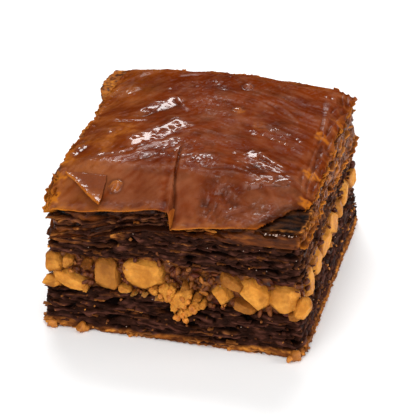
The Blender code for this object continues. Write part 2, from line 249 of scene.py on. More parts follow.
def beside(x, y, start, end):  # how far right of the line from start to end, in mm
    alongX, alongY = end[0] - start[0], end[1] - start[1]
    return ((x - start[0]) * alongY - (y - start[1]) * alongX) / math.hypot(alongX, alongY)


def fromLine(x, y, start, end):  # distance to the stretch between two points, and the share along it
    alongX, alongY = end[0] - start[0], end[1] - start[1]
    share = ((x - start[0]) * alongX + (y - start[1]) * alongY) / (alongX**2 + alongY**2)
    near = np.clip(share, 0.0, 1.0)
    return np.hypot(x - start[0] - alongX * near, y - start[1] - alongY * near), share


def tearSide(x, y):  # mm past the torn edge of the top sheets, at the front right corner
    jag = 0.5 * fieldNoise(x / 2.2, y / 2.2, 301) + 0.25 * fieldNoise(x / 0.8, y / 0.8, 302)
    return beside(x, y, topFront["tearFrom"], topFront["tearTo"]) + jag


def secondSheetHeight(x, y):
    left = smooth((-2.0 - x) / 24.0)
    front = smooth((12.0 - (y + halfY)) / 12.0)
    right = smooth((x - 23.5) / 2.0) * smooth((y + 14.0) / 36.0)
    height = block["secondSheet"] - block["secondDip"] * left * front
    return height - block["secondRightDrop"] * right + 0.3 * wander(7, turnOf(x, y))


def crackSide(x, y):
    return beside(x, y, topFront["crackFrom"], topFront["crackTo"]) + 0.15 * fieldNoise(x / 2.5, y / 2.5, 94)


def topFace(x, y):  # the glazed top without its folds and wrinkles
    front, back = topFront["frontHeight"], topFront["backHeight"]
    rise = front + (back - front) * (y / block["depth"] + 0.5)
    height = rise + topFront["dome"] * (1 - (x / halfX) ** 2)
    side = np.minimum(halfX - np.abs(x), halfY - y)
    height = height - topFront["sideDrop"] * (1 - smooth(side / topFront["sideSlope"]))
    height = height - topFront["rightDrop"] * smooth((x - 20.0) / 6.0) ** 2
    left, right = (base + lift * x for base, lift in (topFront["leftPatch"], topFront["rightPatch"]))
    edge = left + (right - left) * smooth(crackSide(x, y) / topFront["crackWidth"] + 0.5)
    slope = smooth((topFront["slope"] - (y + halfY)) / topFront["slope"])
    return height + (edge - height) * slope


def underside(x, y):  # the lower of the top here and a little further right
    return np.minimum(topFace(x, y), topFace(x + 1.6, y))


def gapDepth(x, y):
    onFront = smooth((-y - halfY + 3.0) / 3.0)
    low, high = topFront["gapEnds"]
    between = smooth((x - low) / 4.0) * smooth((high - x) / 4.0)
    return topFront["gapElsewhere"] + (topFront["gapFront"] - topFront["gapElsewhere"]) * onFront * between


# Small helpers for modelling
def deselectAll():
    if bpy.context.object and bpy.context.object.mode != "OBJECT":
        bpy.ops.object.mode_set(mode="OBJECT")
    bpy.ops.object.select_all(action="DESELECT")


def pick(piece):
    deselectAll()
    piece.select_set(True)
    bpy.context.view_layer.objects.active = piece


def newPiece(name):
    piece = bpy.context.object
    piece.name = name
    piece.data.name = name
    return piece


def newGrid(name, cellsX, cellsY):
    bpy.ops.mesh.primitive_grid_add(x_subdivisions=cellsX, y_subdivisions=cellsY, size=2)
    return newPiece(name)


def readPoints(piece):
    points = np.empty(len(piece.data.vertices) * 3)
    piece.data.vertices.foreach_get("co", points)
    return points.reshape(-1, 3)


def movePoints(piece, points):
    piece.data.vertices.foreach_set("co", np.ascontiguousarray(points, dtype=np.float32).ravel())
    piece.data.update()


def paint(piece, name, values):  # one number for each point, which the materials read
    layer = piece.data.attributes.get(name) or piece.data.attributes.new(name, "FLOAT", "POINT")
    layer.data.foreach_set("value", np.ascontiguousarray(values, dtype=np.float32).ravel())


def joinPieces(pieces, name):
    deselectAll()
    for piece in pieces:
        piece.select_set(True)
    bpy.context.view_layer.objects.active = pieces[0]
    bpy.ops.object.join()
    return newPiece(name)


def applyModifier(piece, kind, **settings):
    pick(piece)
    modifier = piece.modifiers.new(kind.lower(), kind)
    for key, value in settings.items():
        setattr(modifier, key, value)
    bpy.ops.object.modifier_apply(modifier=modifier.name)


def finishPiece(piece, material, slot, *nodes):
    piece.data.materials.clear()
    piece.data.materials.append(material)
    pick(piece)
    bpy.ops.object.shade_smooth()
    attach(piece, "root")
    if nodes:
        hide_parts(*nodes)
    print(piece.name, "has", sum(len(f.vertices) - 2 for f in piece.data.polygons), "triangles")
    return piece


# The cut outline, as points from the middle of the right side
def outline(count):
    way = (np.arange(count) + 0.5) / count
    lengths = (halfY, 2 * halfX, 2 * halfY, 2 * halfX, halfY)
    stops = np.concatenate([[0], np.cumsum(lengths)])
    u = np.interp(way * stops[-1], stops, (1, 1, -1, -1, 1, 1))
    v = np.interp(way * stops[-1], stops, (0, 1, 1, -1, -1, 0))
    power = block["cornerPower"]
    rounded = (np.abs(u) ** power + np.abs(v) ** power) ** (-1 / power)
    return way, halfX * u * rounded, halfY * v * rounded


def mergeSeams(piece):
    pick(piece)
    bpy.ops.object.mode_set(mode="EDIT")
    bpy.ops.mesh.select_all(action="SELECT")
    bpy.ops.mesh.remove_doubles(threshold=0.0005 * mm)
    bpy.ops.object.mode_set(mode="OBJECT")


# Packs of leaves: a closed block whose walls carry the edges of the leaves
packWall = {
    "around": 860,  # points round the block
    "capInsets": (0.7, 2.2, 5.0),  # rings on the hidden upper and lower faces
}


def leafRelief(way, level, look):
    # where the leaves' edges stand in and out of the cut; they run along, part and meet again
    seed = look["seed"]
    bend = 1.3 * ringField(way, level, 26, 9, seed) + 1.3 * ringField(way, level, 8, 2.4, seed + 1)
    bend = bend + 0.9 * ringField(way, level, 2.8, 1.2, seed + 2)
    bend = bend + 0.12 * ringField(way, level, 0.9, 0.6, seed + 12)
    place = level / look["pitch"] + bend
    leaf = np.floor(place)
    seam = np.round(place)
    out = ringField(way, leaf + 0.5, 4.0, 1, seed + 3) + 0.8 * ringField(way, leaf + 0.5, 1.5, 1, seed + 4)
    out = out + 0.25 * ringField(way, leaf + 0.5, 0.7, 1, seed + 5)
    out = out + 0.9 * ringField(way, level, 2.0, 1.3, seed + 13)
    opened = smooth(0.45 + 1.2 * ringField(way, seam + 0.5, 3.6, 1, seed + 6))
    nearSeam = np.abs(2 * (place - leaf) - 1) ** 3
    groove = (0.25 + 0.75 * opened) * nearSeam
    pit = smooth((ringField(way, level, 4.0, 1.2, seed + 7) - 0.28) / 0.2)
    pit = np.maximum(pit, smooth((ringField(way, level, 1.6, 0.7, seed + 11) - 0.46) / 0.2))
    rough = ringField(way, level, 0.5, 0.4, seed + 8)
    relief = look["uneven"] * out - look["groove"] * groove - look["pits"] * pit + look["rough"] * rough
    tone = 0.5 + 0.5 * ringField(way, leaf + 0.5, 6.0, 1, seed + 9)
    tone = tone + 0.4 * ringField(way, level, 1.2, 0.7, seed + 10)
    # Standing leaf edges get the lit colour, a painted highlight; grooves and pits are painted near-black,
    # painted shade.
    edge = np.clip(1 - 1.7 * groove, 0, 1) * (1 - pit) * np.clip(0.5 + 0.7 * out, 0, 1)
    hollow = np.clip(0.75 * groove * opened + pit - 0.25 * out, 0, 1)
    return relief, {"tone": np.clip(tone, 0, 1), "edge": edge, "hollow": hollow}


def wrapBlock(name, out, height, marks):
    # a grid wrapped round the block, which then closes over its lower and its upper face
    insets = np.array(packWall["capInsets"])[:, None]
    centre = np.full((1, out.shape[1]), -halfX)
    out = np.vstack([centre, out[:1] - insets[::-1], out, out[-1:] - insets, centre])
    cap = len(insets) + 1
    height = np.vstack([np.repeat(height[:1], cap, 0), height, np.repeat(height[-1:], cap, 0)])
    height[0] = height[0].mean()
    height[-1] = height[-1].mean()
    rows, around = out.shape
    piece = newGrid(name, around, rows - 1)
    flat = readPoints(piece)
    column = np.rint((flat[:, 0] + 1) / 2 * around).astype(int) % around
    row = np.rint((flat[:, 1] + 1) / 2 * (rows - 1)).astype(int)
    way, x, y = outline(around)
    inner = np.where(out > -halfX, 1.0, 0.0)
    points = np.stack([x * (1 + out / halfX) * inner, y * (1 + out / halfY) * inner, height], axis=-1)
    movePoints(piece, points[row, column] * mm)
    for mark, values in marks.items():
        values = np.vstack([np.repeat(values[:1], cap, 0), values, np.repeat(values[-1:], cap, 0)])
        paint(piece, mark, values[row, column])
    mergeSeams(piece)
    return piece


# Leaves that stand apart: each is a closed ring round the block
leafRing = {
    "around": 700,  # points round the block
    "section": (  # how far in from the edge, and up or down in half thicknesses
        (0.0, 0.0), (0.10, 0.75), (0.7, 1.0), (2.4, 1.0),
        (3.3, 0.0), (2.4, -1.0), (0.7, -1.0), (0.10, -0.75),
    ),
}


def makeLeaf(name, out, height, innerHeight, thickness, tone):
    section = leafRing["section"]
    around = leafRing["around"]
    leaf = newGrid(name, around, len(section))
    way, x, y = outline(around)
    points = np.empty((around, len(section), 3))
    edge = np.empty((around, len(section)))
    for place, (inset, lift) in enumerate(section):
        away = out - inset
        level = height + (innerHeight - height) * smooth(inset / 2.4)
        points[:, place, 0] = x * (1 + away / halfX)
        points[:, place, 1] = y * (1 + away / halfY)
        points[:, place, 2] = level + lift * thickness / 2
        edge[:, place] = math.exp(-inset / 0.45)
    flat = readPoints(leaf)  # the grid is wrapped round the block and round the leaf's section
    column = np.rint((flat[:, 0] + 1) / 2 * around).astype(int) % around
    row = np.rint((flat[:, 1] + 1) / 2 * len(section)).astype(int) % len(section)
    movePoints(leaf, points[column, row] * mm)
    paint(leaf, "edge", edge[column, row])
    paint(leaf, "tone", tone[column])
    return leaf


def leafStack(name, low, high, look):
    # low and high are heights along the outline; the leaves wander between them
    way, x, y = outline(leafRing["around"])
    draw = random.Random(look["seed"])
    pitch = (high - low) / look["leaves"]
    seed = look["seed"]
    waveA = ringNoise(way, 46, seed + 1) + 0.6 * ringNoise(way, 105, seed + 2)
    waveB = ringNoise(way, 40, seed + 3) + 0.6 * ringNoise(way, 90, seed + 4)
    leaves = []
    for n in range(look["leaves"]):
        own = seed + 10 * (n + 1)
        share = (n + 0.5 + draw.uniform(-0.2, 0.2)) * pitch
        turn = n * look["drift"]
        wave = look["wave"] * (waveA * math.cos(turn) + waveB * math.sin(turn))
        height = low + share + wave + 0.12 * ringNoise(way, 150, own + 1)
        lip = look["curl"] * ringNoise(way, 80, own + 2) + 0.05 * ringNoise(way, 420, own + 3)
        stray = 0.6 * ringNoise(way, 30, own + 4) + 0.6 * ringNoise(way, 85, own + 5)
        out = look["out"] + look["wander"] * stray
        out = out + look["fray"] * (ringNoise(way, 210, own + 6) + 0.7 * ringNoise(way, 640, own + 7))
        gone = smooth((ringNoise(way, 38, own + 8) - look["whole"]) / 0.25)
        out = out - look["broken"] * gone * (0.7 + 0.3 * ringNoise(way, 200, own + 9))
        thickness = look["thickness"] * (1 + 0.3 * ringNoise(way, 120, own)) * (1 - 0.25 * draw.random())
        tone = look["tone"] + 0.3 * ringNoise(way, 26, own + 4) + 0.25 * ringNoise(way, 160, own + 5)
        tone = np.minimum(tone + draw.uniform(-0.2, 0.2), look["most"])
        leaves.append(makeLeaf(f"{name}{n}", out, height + lip, height, thickness, tone))
    stack = joinPieces(leaves, name)
    mergeSeams(stack)
    return stack


# Materials
def put(tree, kind, inputs=None, **settings):
    node = tree.nodes.new(kind)
    for key, value in settings.items():
        setattr(node, key, value)
    for key, value in (inputs or {}).items():
        if isinstance(value, bpy.types.NodeSocket):
            tree.links.new(value, node.inputs[key])
        else:
            node.inputs[key].default_value = value
    return node


def mixColours(tree, factor, first, second):
    inputs = {0: factor, 6: first, 7: second}
    return put(tree, "ShaderNodeMix", inputs, data_type="RGBA").outputs[2]


def reach(tree, value, fromLow, fromHigh, toLow=0.0, toHigh=1.0):
    inputs = {"Value": value, "From Min": fromLow, "From Max": fromHigh, "To Min": toLow, "To Max": toHigh}
    return put(tree, "ShaderNodeMapRange", inputs, interpolation_type="SMOOTHSTEP").outputs["Result"]


def number(tree, operation, first, second=0.0):
    return put(tree, "ShaderNodeMath", {0: first, 1: second}, operation=operation).outputs[0]


def rgb(*colour):
    return (*colour, 1.0)


def twoTone(tree, factor, first, second):
    return mixColours(tree, factor, rgb(*first), rgb(*second))


def buildGrainGroup():
    # mottling and fine height, used by every food surface
    group = bpy.data.node_groups.new("fineGrain", "ShaderNodeTree")
    group.interface.new_socket("Size", in_out="INPUT", socket_type="NodeSocketFloat")
    group.interface.new_socket("Mottle", in_out="OUTPUT", socket_type="NodeSocketFloat")
    group.interface.new_socket("Height", in_out="OUTPUT", socket_type="NodeSocketFloat")
    inside = put(group, "NodeGroupInput")
    place = put(group, "ShaderNodeTexCoord").outputs["Object"]
    size = inside.outputs["Size"]
    coarse = put(group, "ShaderNodeTexNoise", {"Vector": place, "Scale": size, "Detail": 4.0})
    fineSize = number(group, "MULTIPLY", size, 5.0)
    fine = put(group, "ShaderNodeTexNoise", {"Vector": place, "Scale": fineSize, "Detail": 3.0})
    mottle = reach(group, coarse.outputs["Fac"], 0.32, 0.68)
    half = number(group, "MULTIPLY", coarse.outputs["Fac"], 0.5)
    height = number(group, "ADD", half, number(group, "MULTIPLY", fine.outputs["Fac"], 0.5))
    put(group, "NodeGroupOutput", {"Mottle": mottle, "Height": height})
    return group


grainGroup = buildGrainGroup()


def newMaterial(name):
    material = bpy.data.materials.new(name)
    material.use_nodes = True
    tree = material.node_tree
    shader = tree.nodes["Principled BSDF"]
    return material, tree, shader


def grain(tree, size):
    node = put(tree, "ShaderNodeGroup", node_tree=grainGroup)
    node.inputs["Size"].default_value = size
    return node.outputs["Mottle"], node.outputs["Height"]


def attribute(tree, name):
    return put(tree, "ShaderNodeAttribute", attribute_name=name).outputs["Fac"]


def link(tree, shader, **sockets):
    for name, value in sockets.items():
        tree.links.new(value, shader.inputs[name.replace("_", " ")])


def fix(shader, **values):
    for name, value in values.items():
        shader.inputs[name.replace("_", " ")].default_value = value


def bump(tree, height, strength, distance):
    inputs = {"Height": height, "Strength": strength, "Distance": distance}
    return put(tree, "ShaderNodeBump", inputs).outputs["Normal"]


def makeCocoaLeaf():
    material, tree, shader = newMaterial("cocoaLeaf")
    mottle, height = grain(tree, 420.0)
    tone = attribute(tree, "tone")
    edge = attribute(tree, "edge")
    browned = attribute(tree, "browned")
    # The lit colour on standing edges is a painted highlight; the near-black mix in grooves, pits and gaps is
    # painted shade.
    dark = twoTone(tree, mottle, (0.015, 0.0048, 0.0026), (0.03, 0.0095, 0.0052))
    lit = twoTone(tree, mottle, (0.064, 0.0205, 0.013), (0.13, 0.045, 0.03))
    rim = number(tree, "MULTIPLY", edge, reach(tree, tone, 0.2, 0.9))
    cocoa = mixColours(tree, rim, dark, lit)
    brown = twoTone(tree, mottle, (0.07, 0.0175, 0.005), (0.18, 0.052, 0.0125))
    orange = twoTone(tree, mottle, (0.32, 0.093, 0.014), (0.6, 0.22, 0.033))
    toasted = mixColours(tree, rim, brown, orange)
    body = mixColours(tree, browned, cocoa, toasted)
    shade = mixColours(tree, attribute(tree, "hollow"), body, rgb(0.003, 0.0009, 0.0005))
    link(tree, shader, Base_Color=shade)
    link(tree, shader, Roughness=reach(tree, mottle, 0.0, 1.0, 0.40, 0.65))
    link(tree, shader, Normal=bump(tree, height, 0.8, 0.0005))
    fix(shader, Specular_IOR_Level=0.025)
    return material


def makeCrustLeaf():
    material, tree, shader = newMaterial("brownedLeaf")
    mottle, height = grain(tree, 600.0)
    tone = attribute(tree, "tone")
    edge = attribute(tree, "edge")
    body = twoTone(tree, mottle, (0.088, 0.024, 0.0066), (0.215, 0.066, 0.015))
    lit = twoTone(tree, mottle, (0.275, 0.085, 0.0148), (0.55, 0.212, 0.036))
    rim = number(tree, "MULTIPLY", edge, reach(tree, tone, 0.2, 0.9))
    link(tree, shader, Base_Color=mixColours(tree, rim, body, lit))
    link(tree, shader, Roughness=reach(tree, mottle, 0.0, 1.0, 0.4, 0.62))
    link(tree, shader, Normal=bump(tree, height, 0.6, 0.0003))
    fix(shader, Specular_IOR_Level=0.2)
    return material


def makeHazelnut():
    material, tree, shader = newMaterial("choppedHazelnut")
    mottle, height = grain(tree, 300.0)
    tone = attribute(tree, "tone")
    spots, fine = grain(tree, 900.0)
    base = twoTone(tree, mottle, (0.55, 0.205, 0.024), (0.74, 0.325, 0.052))
    pale = mixColours(tree, number(tree, "MULTIPLY", spots, 0.45), base, rgb(0.36, 0.112, 0.014))
    # Deep brown for low tone: the nut's browner skin and the painted shade at its rim and lower side.
    deep = twoTone(tree, mottle, (0.095, 0.024, 0.005), (0.26, 0.078, 0.011))
    link(tree, shader, Base_Color=mixColours(tree, tone, deep, pale))
    link(tree, shader, Roughness=reach(tree, mottle, 0.0, 1.0, 0.38, 0.58))
    rough = number(tree, "ADD", height, number(tree, "MULTIPLY", fine, 0.7))
    link(tree, shader, Normal=bump(tree, rough, 0.75, 0.0005))
    fix(shader, Specular_IOR_Level=0.08, Subsurface_Weight=0.15, Subsurface_Radius=(1.0, 0.45, 0.15))
    fix(shader, Subsurface_Scale=0.001)
    return material


def makeGroundNut():
    material, tree, shader = newMaterial("groundNut")
    mottle, height = grain(tree, 700.0)
    tone = attribute(tree, "tone")
    dark = twoTone(tree, mottle, (0.034, 0.0064, 0.0025), (0.108, 0.0205, 0.007))
    golden = twoTone(tree, mottle, (0.42, 0.126, 0.014), (0.72, 0.265, 0.037))
    link(tree, shader, Base_Color=mixColours(tree, tone, dark, golden))
    link(tree, shader, Roughness=reach(tree, mottle, 0.0, 1.0, 0.32, 0.55))
    link(tree, shader, Normal=bump(tree, height, 0.5, 0.0003))
    fix(shader, Specular_IOR_Level=0.2)
    return material


def makeGlaze():
    material, tree, shader = newMaterial("glazedSheet")
    mottle, height = grain(tree, 110.0)
    fineHeight = grain(tree, 900.0)[1]
    matte = attribute(tree, "matte")
    amber = attribute(tree, "amber")
    wet = attribute(tree, "wet")
    deep = twoTone(tree, mottle, (0.103, 0.0132, 0.0012), (0.16, 0.0245, 0.0024))
    pale = twoTone(tree, mottle, (0.16, 0.0395, 0.0132), (0.23, 0.068, 0.0272))
    # Pale where the sheet is matte: partly the dull glaze's own paler colour, partly painted sheen.
    plain = mixColours(tree, matte, deep, pale)
    # Near-black mixed in by the darkening mark: mostly painted shade in valleys, by folds and at the torn
    # corner, with some dark brown chips.
    body = mixColours(tree, attribute(tree, "hollow"), plain, rgb(0.03, 0.0058, 0.0016))
    rim = twoTone(tree, mottle, (0.27, 0.06, 0.0045), (0.46, 0.14, 0.011))
    link(tree, shader, Base_Color=mixColours(tree, amber, body, rim))
    link(tree, shader, Roughness=reach(tree, matte, 0.0, 1.0, 0.26, 0.42))
    place = put(tree, "ShaderNodeTexCoord").outputs["Object"]
    dots = put(tree, "ShaderNodeTexNoise", {"Vector": place, "Scale": 1500.0, "Detail": 1.0}).outputs["Fac"]
    specks = number(tree, "MULTIPLY", reach(tree, dots, 0.50, 0.62), attribute(tree, "grainy"))
    gloss = number(tree, "MAXIMUM", wet, specks)
    link(tree, shader, Coat_Weight=number(tree, "MULTIPLY", gloss, 0.95))
    link(tree, shader, Coat_Roughness=reach(tree, gloss, 0.35, 0.75, 0.30, 0.09))
    large, small = number(tree, "MULTIPLY", height, 0.6), number(tree, "MULTIPLY", fineHeight, 0.25)
    link(tree, shader, Normal=bump(tree, number(tree, "ADD", large, small), 0.5, 0.0005))
    coat = number(tree, "ADD", number(tree, "MULTIPLY", fineHeight, 0.3), number(tree, "MULTIPLY", dots, 0.4))
    link(tree, shader, Coat_Normal=bump(tree, coat, 0.3, 0.0002))
    fix(shader, Specular_IOR_Level=0.0)
    return material


def makeAmberLeaf():
    material, tree, shader = newMaterial("amberLeaf")
    mottle, height = grain(tree, 260.0)
    edge = attribute(tree, "edge")
    tone = attribute(tree, "tone")
    body = twoTone(tree, mottle, (0.048, 0.0105, 0.0028), (0.125, 0.029, 0.0062))
    rim = twoTone(tree, mottle, (0.24, 0.061, 0.0062), (0.5, 0.165, 0.015))
    share = number(tree, "MULTIPLY", edge, reach(tree, tone, 0.25, 0.85))
    dark = mixColours(tree, reach(tree, tone, 0.0, 0.35), rgb(0.025, 0.007, 0.003), body)
    link(tree, shader, Base_Color=mixColours(tree, share, dark, rim))
    link(tree, shader, Roughness=reach(tree, mottle, 0.0, 1.0, 0.26, 0.46))
    link(tree, shader, Normal=bump(tree, height, 0.4, 0.0003))
    fix(shader, Specular_IOR_Level=0.03, Subsurface_Weight=0.15, Subsurface_Radius=(1.0, 0.35, 0.08))
    fix(shader, Subsurface_Scale=0.0008)
    return material


def makeSyrupBrown():  # glossy brown leaf, amber where it is browned, painted near-black in its holes as painted shade
    material, tree, shader = newMaterial("syrupBrownLeaf")
    mottle, height = grain(tree, 300.0)
    dark = twoTone(tree, mottle, (0.021, 0.0062, 0.003), (0.048, 0.0135, 0.0058))
    warm = twoTone(tree, mottle, (0.07, 0.015, 0.003), (0.165, 0.041, 0.007))
    bright = twoTone(tree, mottle, (0.24, 0.064, 0.007), (0.44, 0.14, 0.015))
    body = mixColours(tree, attribute(tree, "browned"), dark, warm)
    rim = number(tree, "MULTIPLY", attribute(tree, "edge"), reach(tree, attribute(tree, "tone"), 0.35, 0.95))
    lit = mixColours(tree, number(tree, "MULTIPLY", rim, attribute(tree, "browned")), body, bright)
    shade = mixColours(tree, attribute(tree, "hollow"), lit, rgb(0.003, 0.0009, 0.0005))
    link(tree, shader, Base_Color=shade)
    link(tree, shader, Roughness=reach(tree, mottle, 0.0, 1.0, 0.22, 0.42))
    link(tree, shader, Normal=bump(tree, height, 0.5, 0.0004))
    fix(shader, Specular_IOR_Level=0.07)
    return material


def makeGlintDrop():
    material, tree, shader = newMaterial("syrupDrop")
    mottle = grain(tree, 700.0)[0]
    # The pale colour stands in for glints on the tiny drops: a painted highlight.
    colour = twoTone(tree, mottle, (0.16, 0.07, 0.04), (0.7, 0.52, 0.42))
    link(tree, shader, Base_Color=colour)
    fix(shader, Roughness=0.12, Coat_Weight=1.0, Coat_Roughness=0.05)
    return material


cocoaLeaf = makeCocoaLeaf()
brownedLeaf = makeCrustLeaf()
hazelnut = makeHazelnut()
groundNut = makeGroundNut()
glazedSheet = makeGlaze()
amberLeaf = makeAmberLeaf()
syrupBrown = makeSyrupBrown()
syrupDrop = makeGlintDrop()
print("materials ready")

# The packs of dark leaves; the lower one is browned at the bottom
lowerPack = {
    "rows": 100, "seed": 1000, "pitch": 0.72, "uneven": 0.24, "groove": 0.50, "pits": 1.0, "rough": 0.05,
}
upperPack = {
    "rows": 78, "seed": 2000, "pitch": 0.72, "uneven": 0.24, "groove": 0.50, "pits": 1.0, "rough": 0.05,
}
brownBand = {
    "rows": 44, "seed": 2700, "pitch": 0.95, "uneven": 0.22, "groove": 0.45, "pits": 0.8, "rough": 0.05,
}


def warmSpots(ways, level, seed):  # toasted places and small golden flecks on the dark leaves
    toasted = smooth((ringField(ways, level, 5.0, 0.8, seed) - 0.45) / 0.15) * 0.3
    return toasted, smooth((ringField(ways, level, 0.9, 0.7, seed + 1) - 0.60) / 0.1) * 0.7


def makeLowerPack():
    way, x, y = outline(packWall["around"])
    share = np.linspace(0, 1, lowerPack["rows"])[:, None]
    low, high = 0.03, lowerFace(x, y) - 0.05
    level = low + (high - low) * share + 0 * x
    ways = np.broadcast_to(way, level.shape)
    relief, marks = leafRelief(ways, level, lowerPack)
    crustTop = block["crust"] + 0.4 * ringNoise(way, 34, 1601) + 0.3 * ringNoise(way, 120, 1602)
    browned = smooth((crustTop - level) / 0.45)
    scallop = np.abs(np.sin(math.pi * (ways * 158 + 0.6 * ringField(ways, level, 5.0, 4.0, 1607))))
    bead = 0.42 * scallop * smooth((2.0 - level) / 1.2) + 0.16 * ringField(ways, level, 0.6, 0.5, 1604)
    bead = bead + 0.25 * np.abs(ringField(ways, level, 1.6, 1.3, 1603))
    relief = relief * (1 - 0.5 * browned) + browned * (0.10 + bead)
    rounded = 0.45 * smooth(1 - level / 0.45) + 0.3 * smooth((level - high + 0.45) / 0.45)
    out = relief + block["flare"] * (1 - level / block["flareHeight"]) - rounded - 0.12
    toasted, flecks = warmSpots(ways, level, 1605)
    marks["edge"] = np.clip(marks["edge"] + 0.4 * browned + 0.6 * flecks, 0, 1)
    marks["hollow"] = marks["hollow"] * (1 - 0.6 * browned)
    marks["browned"] = np.clip(browned + toasted + flecks, 0, 1)
    pack = wrapBlock("lowerPack", out, level, marks)
    return finishPiece(pack, cocoaLeaf, "cocoa_pastry", "lower_pastry")


def makeUpperPack():
    way, x, y = outline(packWall["around"])
    low, high = upperFace(x, y) + 0.05, secondSheetHeight(x, y) + 0.1
    share = np.linspace(0, 1, upperPack["rows"])[:, None]
    level = low + (high - low) * share
    ways = np.broadcast_to(way, level.shape)
    relief, marks = leafRelief(ways, level, upperPack)
    out = relief - 0.3 * smooth((low + 0.45 - level) / 0.45) - 0.12
    toasted, flecks = warmSpots(ways, level, 2606)
    patchy = np.clip(0.5 + ringField(ways, level, 3.0, 0.7, 2609), 0, 1)
    # The right wall's leaves are painted patchily browner and lighter: painted light from the right.
    rightWall = 0.4 * atRight(x) * patchy
    leftEnd = smooth((-23.5 - x) / 2.0) * smooth((level - low - 1.0) / 2.0) * 0.8
    frontLeft = smooth((-4.0 - x) / 8.0) * smooth((level - high + 3.5) / 3.0)
    frontLeft = frontLeft * smooth((ringField(ways, level, 4.5, 0.9, 2608) - 0.02) / 0.25) * 0.7
    marks["edge"] = np.clip(marks["edge"] + 0.6 * flecks, 0, 1)
    marks["browned"] = np.clip(toasted + flecks + leftEnd + frontLeft + rightWall, 0, 1)
    pack = wrapBlock("upperPack", out, level, marks)
    return finishPiece(pack, cocoaLeaf, "glazed_pastry", "upper_pastry")


def makeBrownBand():  # between the second sheet and the top sheets
    way, x, y = outline(packWall["around"])
    low = secondSheetHeight(x, y)
    high = underside(x, y) - 0.75 - topFront["tearDrop"] * smooth(tearSide(x, y) / 0.8)
    share = np.linspace(0, 1, brownBand["rows"])[:, None]
    level = low + (high - low) * share
    ways = np.broadcast_to(way, level.shape)
    relief, marks = leafRelief(ways, level, brownBand)
    deep = gapDepth(x, y)
    inGap = smooth((deep - 1.2) / 1.0)
    onFront = atFront(y)
    skirt = onFront * smooth((x - 2.0) / 3.0)  # a smooth leaf hangs over the edge on the right
    calm = skirt * smooth((x - 8.0) / 4.0)
    rightWall = atRight(x)
    out = relief * (1 - 0.8 * calm) - deep * (1 - skirt) * (1 - rightWall) - 0.25 * skirt - 0.12
    out = out + rightWall * (0.35 - 0.9 * share)
    fold = np.sin(math.pi * np.clip(share, 0, 1)) ** 0.7 + 0.4 * ringField(ways, level, 6.0, 0.9, 2707)
    out = out + calm * (0.35 + 0.3 * fold)
    # Holes in the band and the strip just under the top sheet's edge are pushed in and painted near-black:
    # painted shade.
    holes = skirt * smooth((share - 0.3) / 0.12)
    holes = holes * smooth((ringField(ways, level, 3.4, 2.0, 2705) + 0.45) / 0.2)
    holes = holes * (1 - calm * (1 - 0.5 * smooth((share - 0.7) / 0.1)))
    under = onFront * smooth((share - 0.66) / 0.08) * smooth((x - 0.5) / 1.5) * smooth((11.5 - x) / 2.5)
    holes = np.maximum(holes, 0.9 * under)
    out = out - 1.6 * holes
    amber = np.clip(0.45 + 0.8 * ringField(ways, level, 5.0, 0.9, 2706), 0, 1)
    marks["hollow"] = np.clip(marks["hollow"] * (1 - 0.6 * calm) + holes, 0, 1)
    corner = smooth((x - 24.3) / 1.2) * onFront
    # Inside the deep front gap the band is painted less browned, so darker: painted shade.
    marks["browned"] = np.clip((1 - 0.75 * inGap) * amber + 0.15 * skirt + corner + 0.5 * rightWall, 0, 1)
    lower = (skirt + rightWall) * smooth((0.14 - share) / 0.1) + corner + 0.3 * rightWall
    marks["hollow"] = marks["hollow"] * (1 - 0.4 * rightWall)
    marks["edge"] = np.clip(marks["edge"] * (1 - 0.5 * calm) + lower, 0, 1)
    band = wrapBlock("brownBand", out, level, marks)
    return finishPiece(band, syrupBrown, "glazed_pastry", "upper_pastry")


makeLowerPack()
makeUpperPack()
makeBrownBand()

# Leaves that stand apart: the crust at the base, the second sheet, the gap and under the top sheets
way, ringX, ringY = outline(leafRing["around"])
second = secondSheetHeight(ringX, ringY)
torn = smooth(tearSide(ringX, ringY) / 0.6)
underTop = underside(ringX, ringY) - 0.9 - (topFront["tearDrop"] - 0.2) * torn
onRight = atRight(ringX)
onFront = atFront(ringY)
frontLeft = onFront * smooth((2.0 - ringX) / 2.0)
frontRight = onFront * (1 - smooth((2.0 - ringX) / 2.0))
airGap = onFront * smooth((2.0 - ringX) / 1.5) * smooth((ringX + 21.0) / 4.0)
rimOut = 0.45 + 0.45 * wander(9, turnOf(ringX, ringY)) - 0.5 * torn - 0.8 * onRight - 2.2 * onFront
crustLook = {
    "leaves": 2, "seed": 1500, "drift": 0.4, "wave": 0.07, "curl": 0.05, "out": 1.05,
    "wander": 0.26, "fray": 0.20, "whole": 0.55, "broken": 0.5, "thickness": 0.36, "tone": 0.45, "most": 1.0,
}
# At the front left, down in the gap, the second sheet's edges are painted darker and less amber: painted
# shade.
secondLook = {
    "leaves": 2, "seed": 2500, "drift": 1.4, "wave": 0.22, "curl": 0.28,
    "out": 0.22 - 0.35 * frontLeft - 0.9 * frontRight + 0.35 * onRight,
    "wander": 0.40, "fray": 0.14 + 0.14 * onRight, "whole": 0.35, "broken": 0.8, "thickness": 0.42,
    "tone": 0.58 - 0.3 * frontLeft + 0.3 * onRight, "most": 1.0 - 0.55 * frontLeft,
}
gapLook = {
    "leaves": 4, "seed": 3000, "drift": 1.6, "wave": 0.7, "curl": 0.6,
    "out": 0.35 - gapDepth(ringX, ringY) * (1 - frontRight) - 1.9 * frontRight,
    "wander": 0.95, "fray": 0.2, "whole": 0.15, "broken": 1.2, "thickness": 0.6,
    "tone": 0.62, "most": 1.0,
}
rimLook = {
    "leaves": 2, "seed": 3500, "drift": 0.3, "wave": 0.05, "curl": 0.08, "out": rimOut - 0.12,
    "wander": 0.24, "fray": 0.20, "whole": 0.5, "broken": 0.7, "thickness": 0.26,
    "tone": 0.6 + 0.2 * onRight, "most": 1.0,
}
